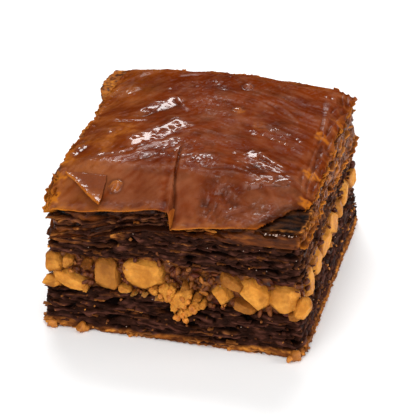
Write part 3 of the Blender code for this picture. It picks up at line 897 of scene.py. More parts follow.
crustLeaves = leafStack("crustLeaves", np.full(len(way), 0.1), np.full(len(way), 1.1), crustLook)
finishPiece(crustLeaves, brownedLeaf, "cocoa_pastry", "lower_pastry")
secondSheet = leafStack("secondSheet", second - 0.35, second + 0.45, secondLook)
finishPiece(secondSheet, amberLeaf, "glazed_pastry", "upper_pastry")
gapLeaves = leafStack("gapLeaves", second + 0.4, underTop - 0.3 - 1.0 * airGap, gapLook)
gapPoints = readPoints(gapLeaves) / mm
# Beside the front gap the leaves are painted dark, their hollows near-black: painted shade under the top
# sheets.
gapShade = smooth((3.0 - gapPoints[:, 0]) / 2.0) * smooth((-gapPoints[:, 1] - halfY + 6.0) / 2.0)
gapTone = fieldNoise(gapPoints[:, 0] / 1.6, gapPoints[:, 2] / 0.7, 3100)
atEnd = smooth((-20.5 - gapPoints[:, 0]) / 2.5)
paint(gapLeaves, "browned", np.clip(0.8 - gapShade * (0.68 - 0.5 * atEnd) + 0.3 * gapTone, 0, 1))
paint(gapLeaves, "hollow", np.clip(0.7 * gapShade * smooth(-0.1 - 2.0 * gapTone), 0, 1))
finishPiece(gapLeaves, cocoaLeaf, "glazed_pastry", "upper_pastry")
rimLeaves = leafStack("rimLeaves", underTop - 0.05, underTop + 0.42, rimLook)
finishPiece(rimLeaves, amberLeaf, "glazed_pastry", "upper_pastry")
print("leaves made")

# The glazed top sheets
topSheet = {
    "cellsX": 284,
    "cellsY": 306,
    "thickness": 0.5,
    "wrinkle": 0.12,  # height of the wrinkles where they are strongest
    "swell": 0.30,
    "roll": 0.7,  # how far the sides roll down at the very edge
    "rim": ((0.4, 1.0), (0.3, 0.985), (1.2, 0.93), (2.6, 0.86)),  # thicknesses down, and how it narrows
    "rimCentre": (0, 0, 0.025),
}


def ridged(x, y, seed):
    return 1.0 - 2.0 * np.abs(fieldNoise(x, y, seed))


def wrinkles(x, y):
    # sets of long creases, each with its own direction and its own part of the top
    warp = 0.7 * fieldNoise(x / 12, y / 12, 71)
    left = smooth((4.0 - x) / 14.0)
    rightEdge = smooth((x - 20.5) / 3.0)
    middle = 1 - left
    sets = (  # direction, where, length, spacing, seed
        (52, left, 11.0, 4.2, 81),
        (58, left * 0.5, 6.0, 2.0, 82),
        (-28, middle, 12.0, 4.4, 83),
        (-20, middle * 0.5, 7.0, 2.1, 84),
        (92, rightEdge * 3.6, 9.0, 1.5, 85),
    )
    total = np.zeros_like(x)
    for angle, weight, length, width, seed in sets:
        along, across = turned(x, y, angle)
        total += weight * (smooth(ridged(along / length + warp, across / width + 1.5 * warp, seed)) - 0.4)
    return total


def smoothPatch(x, y):  # 1 where the sheet lies smooth and matte
    front = smooth((-14.5 - y) / 4.0) * (1 - 0.8 * bell(x, y, (8.0, -21.5), 6.0))
    middle = bell(x, y, (3.0, 4.0), 8.0)
    return np.clip(front + 0.4 * middle, 0, 1)


def topHeight(x, y):
    # the whole form of the top: height, how wet, how calm and how grainy it is
    calm = smoothPatch(x, y)
    height = topFace(x, y)
    wet = 0.07 * smooth((24.0 - y) / 8.0)
    wobble = 0.7 * fieldNoise(x / 4.0, y / 4.0, 55) + 0.35 * fieldNoise(x / 1.6, y / 1.6, 56)
    pores = smooth((fieldNoise(x / 1.15, y / 1.15, 93) - 0.22) / 0.16)
    for start, end, tall, flank, shine in folds:
        away, share = fromLine(x, y, start, end)
        across = beside(x, y, start, end) + flank * 0.35 * wobble
        ends = smooth((share + 0.12) / 0.25) * smooth((1.12 - share) / 0.25) * (away < 6 + flank)
        front = np.clip(1 - across / flank, 0, 1)
        back = np.exp(-((across / (1.3 * flank)) ** 2))
        hump = np.where(across > 0, front * (1 + 0.3 * (1 - front)), back)
        height = height + tall * hump * ends
        soft = 0.35 * flank
        band = smooth((across + 0.5 * flank) / soft) * smooth((1.15 * flank - across) / soft)
        wet = np.maximum(wet, shine * band * ends)
    for away, tall in spotsNear(blisters, x, y):
        height = height + tall * np.clip(1 - away**2, 0, 1) ** 0.8
        wet = np.maximum(wet, 1.0 * (away < 1.1))
    for middleX, middleY in sparkles:
        away = np.hypot(x - middleX, y - middleY) / 0.42
        height = height + 0.2 * np.clip(1 - away**2, 0, 1)
        wet = np.maximum(wet, 1.0 * (away < 1.1))
    grainy = np.zeros_like(x)
    for away, strength in spotsNear(grainyPatches, x, y):
        grainy = np.maximum(grainy, strength * smooth(1.3 - away + 0.5 * wobble))
    for away, strength in spotsNear(amberSpots, x, y):
        height = height + 0.22 * strength * smooth(1.2 - away) * fieldNoise(x / 0.8, y / 0.8, 106)
    stripes = smooth((fieldNoise(x / 1.0, y / 5.0, 107) + 0.1) / 0.3)
    wet = np.maximum(wet, 0.3 * smooth((x - 20.5) / 2.0) * stripes)
    height = height + topSheet["wrinkle"] * (1 - 0.8 * calm) * wrinkles(x, y)
    height = height + topSheet["swell"] * fieldNoise(x / 8.5, y / 7.0, 92)
    height = height + 0.05 * fieldNoise(x / 2.4, y / 2.4, 91)
    leftRim = smooth((-22.8 - x) / 2.5)
    height = height - 0.16 * wet * pores
    height = height + (0.10 * grainy + 0.24 * leftRim) * fieldNoise(x / 0.75, y / 0.95, 99)
    height = height + 0.35 * leftRim * np.clip(fieldNoise(x / 1.5, y / 1.5, 103), 0, 1)
    shine = smooth((fieldNoise(x / 0.95, y / 0.95, 102) + 0.05) / 0.3)
    wet = wet * (1 - 0.85 * pores)
    wet = np.clip(np.maximum(wet, 0.3 * grainy * shine), 0, 1)
    crack = crackSide(x, y)
    alongCrack = smooth((-7.0 - y) / 3.0)
    height = height - topFront["crackDeep"] * np.exp(-((crack / 0.26) ** 2)) * alongCrack
    height = height - 0.4 * np.exp(-(((crack + 1.1) / 1.1) ** 2)) * alongCrack * (crack < 0.2)
    return height, wet, calm, np.clip(grainy, 0.14, 1)


def nearbyMean(grid, cells):  # the mean over a square of cells round each point
    for _ in range(2):
        padded = np.pad(grid, ((cells, cells), (0, 0)), mode="edge")
        grid = (sum(padded[k:k + len(grid)] for k in range(2 * cells + 1)) / (2 * cells + 1)).T
    return grid


def standsOut(u, v, height):  # how far each point of the sheet stands above its neighbours
    order = np.lexsort((u.round(4), v.round(4)))
    grid = height[order].reshape(topSheet["cellsY"] + 1, topSheet["cellsX"] + 1)
    above = np.empty_like(height)
    above[order] = (grid - nearbyMean(grid, 5)).ravel()
    return above


def makeTopSheet():
    sheet = newGrid("topSheet", topSheet["cellsX"], topSheet["cellsY"])
    points = readPoints(sheet)
    u, v = points[:, 0], points[:, 1]
    square = np.maximum(np.abs(u), np.abs(v))
    power = block["cornerPower"]
    rounded = (np.abs(u) ** power + np.abs(v) ** power + 1e-9) ** (-1 / power) * square
    x, y = halfX * u * rounded, halfY * v * rounded
    turn = turnOf(x, y)
    out = 0.6 + 0.45 * wander(9, turn) - 1.7 * atRight(x)
    jag = 0.22 * ringNoise(turn, 130, 41) + 0.18 * ringNoise(turn, 420, 42) + 0.10 * ringNoise(turn, 900, 43)
    onFront = smooth((-v - 0.97) / 0.02)
    out = out + jag * (1 - 0.6 * onFront) - 0.7 * onFront * smooth((-0.4 - x) / 0.5)
    near = smooth((square - 0.93) / 0.07)
    x, y = x * (1 + out * near / halfX), y * (1 + out * near / halfY)
    height, wet, calm, grainy = topHeight(x, y)
    above = standsOut(u, v, height)
    rollEdge = smooth((np.maximum(np.abs(u), v) - 0.955) / 0.045)
    height -= topSheet["roll"] * rollEdge
    movePoints(sheet, np.column_stack([x, y, height]) * mm)
    rimShare = np.exp(-(1 - square) * halfX / 0.9)
    patchNoise = fieldNoise(x / 3.4, y / 3.4, 97) + 0.5 * fieldNoise(x / 1.2, y / 1.2, 98)
    fineNoise = fieldNoise(x / 0.7, y / 1.1, 108)
    amber = rimShare * np.clip(0.4 + 1.3 * patchNoise, 0, 1) * (1 - 0.7 * onFront)
    amber = amber + (0.85 - 0.3 * onFront) * np.exp(-(1 - square) * halfX / 0.2)
    tornRim = np.exp(-np.abs(tearSide(x, y) + 0.1) / 0.3) * smooth((-y - 17.0) / 2)
    amber = amber + 0.5 * tornRim * np.clip(0.2 + 1.2 * patchNoise, 0, 1)
    for away, strength in spotsNear(amberSpots, x, y):
        patch = smooth((1.0 - away + 0.7 * patchNoise) / 0.6)
        amber = amber + strength * patch * np.clip(0.8 + fineNoise, 0, 1)
    leftWarm = 0.22 * smooth((-10.0 - x) / 10.0) * (0.7 + 0.5 * patchNoise)
    # A strip left of the crack is painted darker, less amber and less calm: painted shade where the patch
    # dips to the crack.
    crackShade = np.exp(-(((crackSide(x, y) + 1.4) / 1.2) ** 2)) * smooth((-9.0 - y) / 3.0)
    amber = np.clip(amber + leftWarm, 0, 1) * (1 - 0.6 * crackShade)
    calm = calm * (1 - 0.9 * crackShade)
    streaks = np.zeros_like(x)
    for angle, part in ((50, smooth((6.0 - x) / 10.0)), (-24, smooth((x - 2.0) / 10.0))):
        along, across = turned(x, y, angle)
        lines = fieldNoise(along / 7, across / 1.7, 104) + 0.6 * fieldNoise(along / 3, across / 0.8, 105)
        streaks += part * lines
    # Painted shade: darker in valleys, in soft blotches, at the listed spots and towards the torn corner; a
    # few spots are dark brown chips.
    hollow = 0.30 * smooth((-above - 0.01) / 0.09)
    hollow = hollow + 0.22 * smooth((fieldNoise(x / 3.6, y / 2.8, 110) - 0.05) / 0.5)
    for away, strength in spotsNear(shadeAndDarkSpots, x, y):
        patch = smooth(1.3 - away + 0.35 * patchNoise)
        hollow = hollow + 0.5 * strength * patch * np.clip(0.85 + 0.3 * fineNoise, 0, 1)
    hollow = np.maximum(hollow, 0.85 * smooth((tearSide(x, y) + 3.6) / 3.4) * smooth((-y - 15.0) / 3.0))
    # Calm patches are paler, partly the dull glaze's colour and partly painted sheen; raised points are paler
    # as a painted highlight.
    matte = 0.14 + 0.68 * calm + 0.45 * patchNoise + 0.5 * streaks + 0.3 * smooth(above / 0.08)
    paint(sheet, "matte", np.clip(matte, 0, 1))
    paint(sheet, "amber", amber)
    byTear = smooth((tearSide(x, y) + 3.0) / 2.5) * smooth((-y - 15.0) / 3.0)
    paint(sheet, "wet", wet * (1 - 0.9 * byTear))
    paint(sheet, "grainy", grainy * (1 - 0.6 * byTear))
    paint(sheet, "hollow", np.clip(hollow, 0, 1) * (1 - 0.7 * amber))
    bpy.ops.object.mode_set(mode="EDIT")
    bpy.ops.mesh.select_all(action="DESELECT")
    bpy.ops.mesh.select_mode(type="FACE")
    bpy.ops.object.mode_set(mode="OBJECT")
    faces = np.array([f.center[:] for f in sheet.data.polygons]) / mm
    cut = (tearSide(faces[:, 0], faces[:, 1]) > 0) & (faces[:, 1] < -12)
    sheet.data.polygons.foreach_set("select", cut)
    bpy.ops.object.mode_set(mode="EDIT")
    bpy.ops.mesh.delete(type="FACE")
    bpy.ops.mesh.select_mode(type="EDGE")
    bpy.ops.mesh.select_non_manifold()
    for drop, shrink in topSheet["rim"]:
        bpy.ops.mesh.extrude_region_move(
            TRANSFORM_OT_translate={"value": (0, 0, -drop * topSheet["thickness"] * mm)}
        )
        bpy.ops.transform.resize(value=(shrink, shrink, 1.0), center_override=topSheet["rimCentre"])
    bpy.ops.mesh.edge_face_add()
    bpy.ops.mesh.select_mode(type="VERT")
    bpy.ops.object.mode_set(mode="OBJECT")
    return finishPiece(sheet, glazedSheet, "glazed_pastry", "upper_pastry")


makeTopSheet()


def thinSheet(name, cellsX, cellsY, shape, thickness):
    # a small loose sheet: shape gives its points from u and v of -1 to 1
    sheet = newGrid(name, cellsX, cellsY)
    flat = readPoints(sheet)
    movePoints(sheet, np.column_stack(shape(flat[:, 0], flat[:, 1])) * mm)
    applyModifier(sheet, "SOLIDIFY", thickness=thickness * mm, offset=-1.0)
    return sheet


def paintAll(piece, **marks):
    for name, value in marks.items():
        paint(piece, name, np.zeros(len(piece.data.vertices)) + value)


def makeTornLeaf():  # the dark, wet leaf that shows where the corner is torn off
    def shape(u, v):
        x, y = 20.5 + 6.3 * u, -23.0 + 5.9 * v
        x = np.minimum(x, halfX + 0.1 + 0.3 * fieldNoise(y / 1.2, x * 0 + 0.5, 311))
        y = np.maximum(y, -halfY - 0.2 - 0.3 * fieldNoise(x / 1.2, y * 0 + 0.5, 312))
        past = smooth(tearSide(x, y) / 6.0)
        height = topFace(x, y) - 0.55 - (topFront["tearDrop"] - 0.45) * past
        height = height + (0.10 + 0.15 * past) * fieldNoise(x / 3.0, y / 1.6, 313)
        return x, y, height + 0.08 * fieldNoise(x / 0.9, y / 0.7, 314)

    leaf = thinSheet("tornLeaf", 64, 60, shape, 0.3)
    points = readPoints(leaf) / mm
    rim = np.clip(smooth((points[:, 0] - 25.2) / 0.7) + 0.6 * smooth((-points[:, 1] - 28.2) / 0.4), 0, 1)
    rim = rim * np.clip(0.5 + 0.8 * fieldNoise(points[:, 0] / 0.9, points[:, 1] / 0.9, 315), 0, 1)
    inside = np.clip(0.84 + 0.4 * fieldNoise(points[:, 0] / 2.2, points[:, 1] / 1.1, 316), 0, 1) * (1 - rim)
    edge = np.maximum(rim, 0.4 * (1 - inside))
    paintAll(leaf, tone=0.75, browned=0.7 + 0.25 * rim, edge=edge, hollow=inside)
    return finishPiece(leaf, cocoaLeaf, "glazed_pastry", "upper_pastry")


def makeTopFlake():  # the three-cornered flake that lies on the front left of the top
    def shape(u, v):
        right, down = (u + 1) / 2, (1 - v) / 2
        leftX, leftY = -24.2 + 9.4 * down, -19.6 - 8.0 * down
        rightX, rightY = -15.2 + 0.5 * down, -20.3 - 7.3 * down
        x, y = leftX + (rightX - leftX) * right, leftY + (rightY - leftY) * right
        x = x + 0.25 * fieldNoise(y / 1.5, u * 0 + 0.5, 321)
        curl = 0.75 * np.exp(-(right * (1.2 - down) * 8.0 / 1.6)) + 0.25 * down
        return x, y, topFace(x, y) + 0.45 + curl + 0.12 * fieldNoise(x / 2.0, y / 2.0, 322)

    flake = thinSheet("topFlake", 40, 40, shape, 0.32)
    points = readPoints(flake) / mm
    x, y = points[:, 0], points[:, 1]
    onLeft = np.exp(-np.abs(beside(x, y, (-24.2, -19.6), (-14.8, -27.6))) / 0.35)
    tip = smooth((-22.5 - y) / 4.5)
    amber = np.clip(onLeft + 0.75 * tip * (0.6 + 0.5 * fieldNoise(x, y, 323)), 0, 1)
    paintAll(flake, matte=0.75, amber=amber, wet=0.1, grainy=0.8, hollow=0.1)
    return finishPiece(flake, glazedSheet, "glazed_pastry", "upper_pastry")


def makeBackLeftLeaf():  # a bright leaf that stands out of the left side towards the back
    def shape(u, v):
        y = 20.6 + 7.0 * v
        reachOut = 2.7 * np.cos((v - 0.2) * 1.25) ** 0.6 + 0.3 * fieldNoise(y / 0.9, u * 0 + 0.5, 331)
        x = -halfX + 1.2 - (u + 1) / 2 * (1.2 + reachOut)
        height = topFace(np.maximum(x, -halfX), y) - 0.45 + 0.2 * fieldNoise(x / 1.6, y / 1.6, 332)
        return x, y, height - 0.1 * (u + 1)

    leaf = thinSheet("backLeftLeaf", 24, 60, shape, 0.3)
    points = readPoints(leaf) / mm
    x, y = points[:, 0], points[:, 1]
    edge = smooth((-24.5 - x) / 1.5)
    patchy = fieldNoise(x / 0.8, y / 0.8, 333) + 0.6 * fieldNoise(x / 2.2, y / 2.2, 334)
    paintAll(leaf, tone=np.clip(0.6 + 0.5 * patchy, 0, 1), edge=np.clip(0.15 + 0.85 * edge, 0, 1))
    return finishPiece(leaf, amberLeaf, "glazed_pastry", "upper_pastry")


curls = {"count": 32, "seed": 61}


def makeEdgeCurls():  # small torn strips along the rim, most of them at the front left
    draw = random.Random(curls["seed"])
    pieces = []
    for n in range(curls["count"]):
        if n < 15:
            x, y, heading = -25.4 + draw.uniform(-0.6, 1.4), -24.0 + draw.uniform(-3.6, 6.0), math.pi
        elif n < 22:
            x, y, heading = halfX - 0.9 + draw.uniform(-0.5, 0.3), draw.uniform(-18.0, 25.0), 0.0
        elif n < 28:
            x, y, heading = -halfX + draw.uniform(0.5, 1.1), draw.uniform(-20.0, 14.0), math.pi
        else:
            x, y, heading = draw.uniform(-24, 24), halfY + draw.uniform(-0.3, 0.3), math.pi / 2
        heading += draw.uniform(-0.7, 0.7)
        length, width, bend = draw.uniform(0.7, 1.5), draw.uniform(0.5, 1.2), draw.uniform(0.6, 1.9)
        base = float(topFace(np.clip(x, -halfX, halfX), np.clip(y, -halfY, halfY))) - draw.uniform(0.2, 1.1)
        base -= 1.2 if n >= 28 else 0.0
        lift = draw.uniform(-0.3, 0.5)

        def shape(u, v):
            along = (u + 1) / 2 * length
            tilt = bend * (u + 1) / 2 + lift
            outward = np.sin(tilt) / bend * length if abs(bend) > 0.1 else along
            rise = (1 - np.cos(tilt)) / bend * length
            across = v * width * (1 - 0.35 * (u + 1) / 2) + 0.12 * fieldNoise(u * 3 + n, v * 2, 341)
            return (
                x + math.cos(heading) * outward - math.sin(heading) * across,
                y + math.sin(heading) * outward + math.cos(heading) * across,
                base + rise + 0.15 * fieldNoise(u * 2 + n, v * 2, 342),
            )

        pieces.append(thinSheet(f"curl{n}", 8, 8, shape, 0.18))
    piece = joinPieces(pieces, "edgeCurls")
    paintAll(piece, tone=0.8, edge=0.75)
    return finishPiece(piece, amberLeaf, "glazed_pastry", "upper_pastry")


makeTornLeaf()
makeTopFlake()
makeBackLeftLeaf()
makeEdgeCurls()
print("top sheets made")

# Chopped hazelnuts on the front: middle (x, z), width, height, turn in degrees, paleness, and
# its cut faces as (direction in degrees, how far it leans to the front, distance from the middle)
frontNuts = (
    ((-24.4, 13.9), 4.4, 4.6, 15, 0.75, ((40, 20, 0.8), (160, 20, 0.75), (270, 30, 0.8), (90, 45, 0.7))),
    ((-21.3, 14.7), 2.5, 3.2, -15, 0.6, ((90, 10, 0.7), (200, 20, 0.8), (330, 40, 0.7))),
    ((-20.9, 10.4), 9.0, 3.8, -20, 1.0, ((85, 25, 0.74), (262, 20, 0.8), (0, 15, 0.9), (180, 20, 0.86))),
    ((-13.3, 12.6), 6.2, 7.6, 6, 0.38, ((85, 20, 0.84), (5, 10, 0.78), (175, 15, 0.82), (250, 30, 0.76))),
    ((-5.6, 14.0), 9.4, 7.0, 4, 1.0,
     ((86, 12, 0.74), (2, 10, 0.84), (300, 25, 0.86), (182, 20, 0.9), (235, 30, 0.88))),
    ((-9.6, 10.0), 3.4, 1.8, -20, 0.7, ((90, 20, 0.75), (200, 20, 0.8), (340, 20, 0.8))),
    ((10.2, 11.7), 4.6, 3.9, -28, 0.95, ((60, 20, 0.72), (150, 10, 0.7), (245, 20, 0.66), (350, 20, 0.8))),
    ((12.3, 14.6), 6.4, 3.0, -25, 0.3, ((80, 20, 0.7), (180, 20, 0.8), (280, 20, 0.7), (0, 20, 0.8))),
    ((16.9, 12.5), 7.8, 6.0, -38, 1.0,
     ((95, 20, 0.76), (30, 15, 0.84), (265, 18, 0.70), (350, 15, 0.82), (180, 30, 0.86))),
    ((14.6, 9.6), 5.6, 2.5, -14, 0.35, ((90, 20, 0.7), (180, 20, 0.8), (270, 20, 0.75))),
    ((22.4, 12.1), 6.9, 6.4, -8, 0.85,
     ((95, 15, 0.8), (170, 20, 0.8), (235, 30, 0.78), (300, 15, 0.82), (20, 38, 0.70), (5, 5, 0.85))),
    ((26.2, 10.7), 3.4, 5.2, -22, 0.95, ((90, 20, 0.82), (180, 20, 0.75), (280, 20, 0.85), (0, 30, 0.75))),
    ((24.7, 8.9), 2.6, 1.8, 0, 0.35, ((90, 20, 0.75), (200, 20, 0.8))),
)
# The nuts on the right side: middle (y, z), width, height, turn, paleness
rightNuts = (
    ((-18.9, 11.2), 7.0, 6.0, 30, 0.9), ((-11.2, 11.8), 7.0, 6.2, -20, 1.0),
    ((-3.6, 12.1), 7.4, 6.2, 15, 1.0),
    ((4.0, 12.4), 7.2, 6.2, -10, 0.95), ((10.6, 12.6), 5.2, 5.0, 25, 0.5), ((17.2, 12.4), 7.2, 6.2, 0, 1.0),
    ((24.4, 12.6), 6.0, 5.0, 10, 0.8), ((-14.8, 14.4), 3.0, 2.2, 0, 0.4), ((0.4, 9.6), 3.2, 2.0, 10, 0.5),
)
# The crumbled clump on the front: middle (x, z), width, height and paleness of each lump
crumbleClump = (
    ((-0.8, 10.9), 3.9, 3.2, 0.95), ((1.9, 9.9), 5.2, 4.4, 1.0), ((2.4, 6.0), 4.8, 2.8, 1.0),
    ((5.0, 8.9), 2.8, 2.8, 0.9), ((-3.4, 10.9), 2.4, 1.7, 0.9), ((-2.3, 9.2), 2.2, 1.5, 0.65),
    ((-5.3, 8.8), 2.2, 1.4, 0.5), ((2.9, 12.7), 2.4, 2.0, 0.3), ((0.7, 8.1), 2.4, 2.0, 0.85),
    ((3.2, 11.4), 2.7, 2.5, 0.65), ((3.8, 7.4), 2.2, 2.0, 0.9), ((6.5, 9.3), 2.0, 1.7, 0.8),
    ((0.4, 11.9), 2.0, 1.6, 0.8), ((5.4, 10.6), 1.8, 1.6, 0.5), ((0.6, 6.6), 1.6, 1.3, 0.8),
    ((-17.3, 14.8), 1.9, 2.4, 0.1), ((-17.4, 9.6), 1.6, 1.2, 0.5), ((-7.4, 9.4), 1.6, 1.2, 0.4),
)
# Dark reddish lumps of ground nut and syrup on the front: middle (x, z) and radius
darkLumps = (
    ((1.0, 15.4), 1.25), ((3.2, 14.9), 1.0), ((-0.4, 13.4), 0.9), ((5.2, 14.4), 0.9), ((6.9, 13.0), 1.1),
    ((8.4, 14.6), 0.8), ((4.7, 12.6), 0.8), ((7.6, 10.8), 0.9), ((8.3, 9.2), 0.7), ((12.6, 9.9), 0.9),
    ((-9.3, 12.0), 0.7), ((-17.1, 12.6), 0.9), ((-16.6, 10.6), 0.8), ((20.0, 14.9), 0.7), ((19.6, 9.6), 0.6),
    ((-23.0, 12.2), 0.7), ((-10.0, 15.0), 0.6), ((13.6, 12.2), 0.8), ((10.4, 8.9), 0.6), ((-6.4, 10.0), 0.6),
)
nuts = {
    "step": 6.2,
    "widths": (4.4, 7.4),
    "proud": 0.6,
    "widest": 0.9,  # a nut is widest this far in
    "kinds": 8,
    "voxel": 0.06,  # on a kernel of radius 1
    "keep": 0.32,  # share of the faces that stay
}


def nutKind(name, cuts, draw):
    # a kernel cut by planes, its edges worn a little
    bpy.ops.mesh.primitive_ico_sphere_add(subdivisions=4, radius=1.0)
    kernel = newPiece(name)
    bpy.ops.object.mode_set(mode="EDIT")
    planes = [(Vector((draw.uniform(-0.3, 0.3), -1.0, draw.uniform(-0.05, 0.35))), draw.uniform(0.58, 0.72))]
    for direction, lean, distance in cuts:
        turn, lean = math.radians(direction), math.radians(lean)
        side = Vector((math.cos(turn) * math.cos(lean), -math.sin(lean), math.sin(turn) * math.cos(lean)))
        planes.append((side, distance))
    for face, distance in planes:
        face.normalize()
        bpy.ops.mesh.select_all(action="SELECT")
        bpy.ops.mesh.bisect(plane_co=face * distance, plane_no=face, use_fill=True, clear_outer=True)
    bpy.ops.object.mode_set(mode="OBJECT")
    applyModifier(kernel, "REMESH", mode="VOXEL", voxel_size=nuts["voxel"])
    applyModifier(kernel, "SMOOTH", factor=0.5, iterations=2)
    points = readPoints(kernel)
    x, y, z = points.T
    own = draw.uniform(0, 50)
    dent = 0.07 * fieldNoise(x * 2.2 + y + own, z * 2.2 - y, 400)
    dent = dent + 0.04 * fieldNoise(x * 5 + y * 4, z * 5 - y * 3 + own, 420)
    movePoints(kernel, points * (1 + dent)[:, None])
    applyModifier(kernel, "DECIMATE", ratio=nuts["keep"])
    return kernel


def someCuts(draw):
    directions = [draw.uniform(0, 360) + 90 * n for n in range(draw.choice((3, 4, 5)))]
    return [(direction, draw.uniform(5, 40), draw.uniform(0.68, 0.88)) for direction in directions]


def fitBetween(z, x, y, clear):
    return np.clip(z, lowerFace(x, y) + clear, upperFace(x, y) - clear)


def nutAt(x, y, z, out, width, height, turn, pale, cuts=()):
    return {
        "x": x, "y": y, "z": z, "out": out, "width": width, "height": height,
        "turn": turn, "pale": pale, "cuts": cuts,
    }


def nutPlaces():
    draw = random.Random(11)
    places = [nutAt(x, -halfY, z, (0, -1), *rest) for (x, z), *rest in frontNuts]
    places += [nutAt(halfX - 0.2, y, z, (1, 0), *rest) for (y, z), *rest in rightNuts]
    sides = (
        ((halfX, halfY), (-1, 0), 2 * halfX, (0, 1)),
        ((-halfX, halfY), (0, -1), 2 * halfY, (-1, 0)),
    )
    for start, along, length, wayOut in sides:
        count = round(length / nuts["step"])
        for n in range(2 * count):
            large = n < count
            share = (n % count + (0.5 if large else 1.0) + draw.uniform(-0.15, 0.15)) / count
            x, y = (start[k] + along[k] * share * length - (0 if large else 0.4) * wayOut[k] for k in (0, 1))
            low, high = float(lowerFace(x, y)), float(upperFace(x, y))
            width = draw.uniform(*nuts["widths"]) if large else draw.uniform(1.8, 3.6)
            height = min(width * draw.uniform(0.7, 1.0), high - low)
            middle = draw.uniform(low + height / 2, high - height / 2)
            turn, pale = draw.uniform(-40, 40), draw.choice((1.0, 0.95, 0.8, 0.5))
            places.append(nutAt(x, y, middle, wayOut, width, height, turn, pale))
    return places


def placeNut(kernel, place, name):
    nut = kernel.copy()
    nut.data = kernel.data.copy()
    nut.name = name
    bpy.context.scene.collection.objects.link(nut)
    px, py, pz = readPoints(nut).T
    out = nuts["widest"] + nuts["proud"]
    deep = max(min(place["width"], place["height"]) * 0.6, 1.9)
    depth = np.where(py < 0, -py * out / 0.68, -py * deep)
    turn = math.radians(place["turn"])
    side, up = px * place["width"] / 2, pz * place["height"] / 2
    side, up = side * math.cos(turn) - up * math.sin(turn), side * math.sin(turn) + up * math.cos(turn)
    outX, outY = place["out"]
    newX = place["x"] + outX * (depth - nuts["widest"]) - outY * side
    newY = place["y"] + outY * (depth - nuts["widest"]) + outX * side
    newZ = fitBetween(place["z"] + up, newX, newY, 0.05)
    movePoints(nut, np.column_stack([newX, newY, newZ]) * mm)
    tone = 1.0 + 0.2 * fieldNoise(px * 1.3 + place["x"], pz * 1.3 + place["y"], 430)
    # The lower side and the rim are painted darker as painted shade; the noise patches below are the nut's
    # own browner skin.
    tone = tone - 0.3 * smooth(-pz * 1.3 - 0.3) - 0.55 * smooth((np.hypot(px, pz) - 0.76) / 0.25)
    tone = tone - 0.22 * smooth((fieldNoise(px * 2.1 + place["z"], pz * 2.1 - place["x"], 431) - 0.15) / 0.4)
    paint(nut, "tone", np.clip(tone * place["pale"], 0, 1))
    return nut


nutSpots = nutPlaces()


def underNut(x, y, z):  # whether a nut covers that point
    for spot in nutSpots:
        outX, outY = spot["out"]
        away = (x - spot["x"]) * outX + (y - spot["y"]) * outY
        side = -(x - spot["x"]) * outY + (y - spot["y"]) * outX
        turn = math.radians(spot["turn"])
        up = z - spot["z"]
        side, up = side * math.cos(turn) + up * math.sin(turn), -side * math.sin(turn) + up * math.cos(turn)
        if abs(away) < 2.5 and (2 * side / spot["width"]) ** 2 + (2 * up / spot["height"]) ** 2 < 0.9:
            return True
    return False


def makeNuts():
    draw = random.Random(5)
    kinds = [nutKind(f"nutKind{n}", someCuts(draw), draw) for n in range(nuts["kinds"])]
    placed = []
    for n, place in enumerate(nutSpots):
        if place["cuts"]:
            kernel = nutKind(f"frontKind{n}", place["cuts"], draw)
            kinds.append(kernel)
        else:
            kernel = kinds[n % nuts["kinds"]]
        placed.append(placeNut(kernel, place, f"nut{n}"))
    clump = []
    for n, ((x, z), width, height, pale) in enumerate(crumbleClump):
        place = nutAt(x, -halfY - 0.5, z, (0, -1), width, height, 40 * n, pale)
        lump = placeNut(kinds[(n * 3) % nuts["kinds"]], place, f"lump{n}")
        points = readPoints(lump)
        px, py, pz = points.T / mm
        rough = 0.35 * fieldNoise(px / 0.9 + n, pz / 0.9 + py, 435)
        rough = rough + 0.15 * fieldNoise(px / 0.4, pz / 0.4 + py, 436)
        movePoints(lump, points + np.column_stack([0.4 * rough, -np.abs(rough), 0.6 * rough]) * mm)
        clump.append(lump)
    for kernel in kinds:
        bpy.data.objects.remove(kernel)
    finishPiece(joinPieces(placed, "choppedNuts"), hazelnut, "hazelnut_filling", "nut_filling")
    finishPiece(joinPieces(clump, "nutCrumble"), hazelnut, "hazelnut_filling", "nut_filling")


makeNuts()
print("nuts made")

# Small lumps and bits: a few kinds, copied with their own turn, size and tone
bits = {
    "between": 1100,  # ground bits between the nuts, all round
    "onClump": 5,  # grains on each large lump of the clump
    "onLeaves": 110,
    "chips": 240,  # broken edges of leaves, which lie along the walls
    "crumbs": 34,
    "drops": 110,
    "beads": 13,  # drops along the torn corner, coloured pale as painted glints
    "kinds": 5,  # different shapes of each sort
}


def bitKinds(count):
    draw = random.Random(77)
    kinds = []
    for n in range(count):
        bpy.ops.mesh.primitive_ico_sphere_add(subdivisions=2, radius=1.0)
        kind = newPiece(f"bitKind{n}")
        bpy.ops.object.mode_set(mode="EDIT")
        for _ in range(3):
            face = Vector((draw.uniform(-1, 1), draw.uniform(-1, 1), draw.uniform(-1, 1))).normalized()
            bpy.ops.mesh.select_all(action="SELECT")
            bpy.ops.mesh.bisect(
                plane_co=face * draw.uniform(0.45, 0.8), plane_no=face, use_fill=True, clear_outer=True
            )
        bpy.ops.mesh.select_all(action="SELECT")
        bpy.ops.mesh.quads_convert_to_tris()
        bpy.ops.object.mode_set(mode="OBJECT")
        points = readPoints(kind)
        x, y, z = points.T
        swell = 0.22 * fieldNoise(x * 1.4 + n * 3, y * 1.4 + z, 440 + n)
        movePoints(kind, points * (1 + swell)[:, None])
        kinds.append(kind)
    return kinds


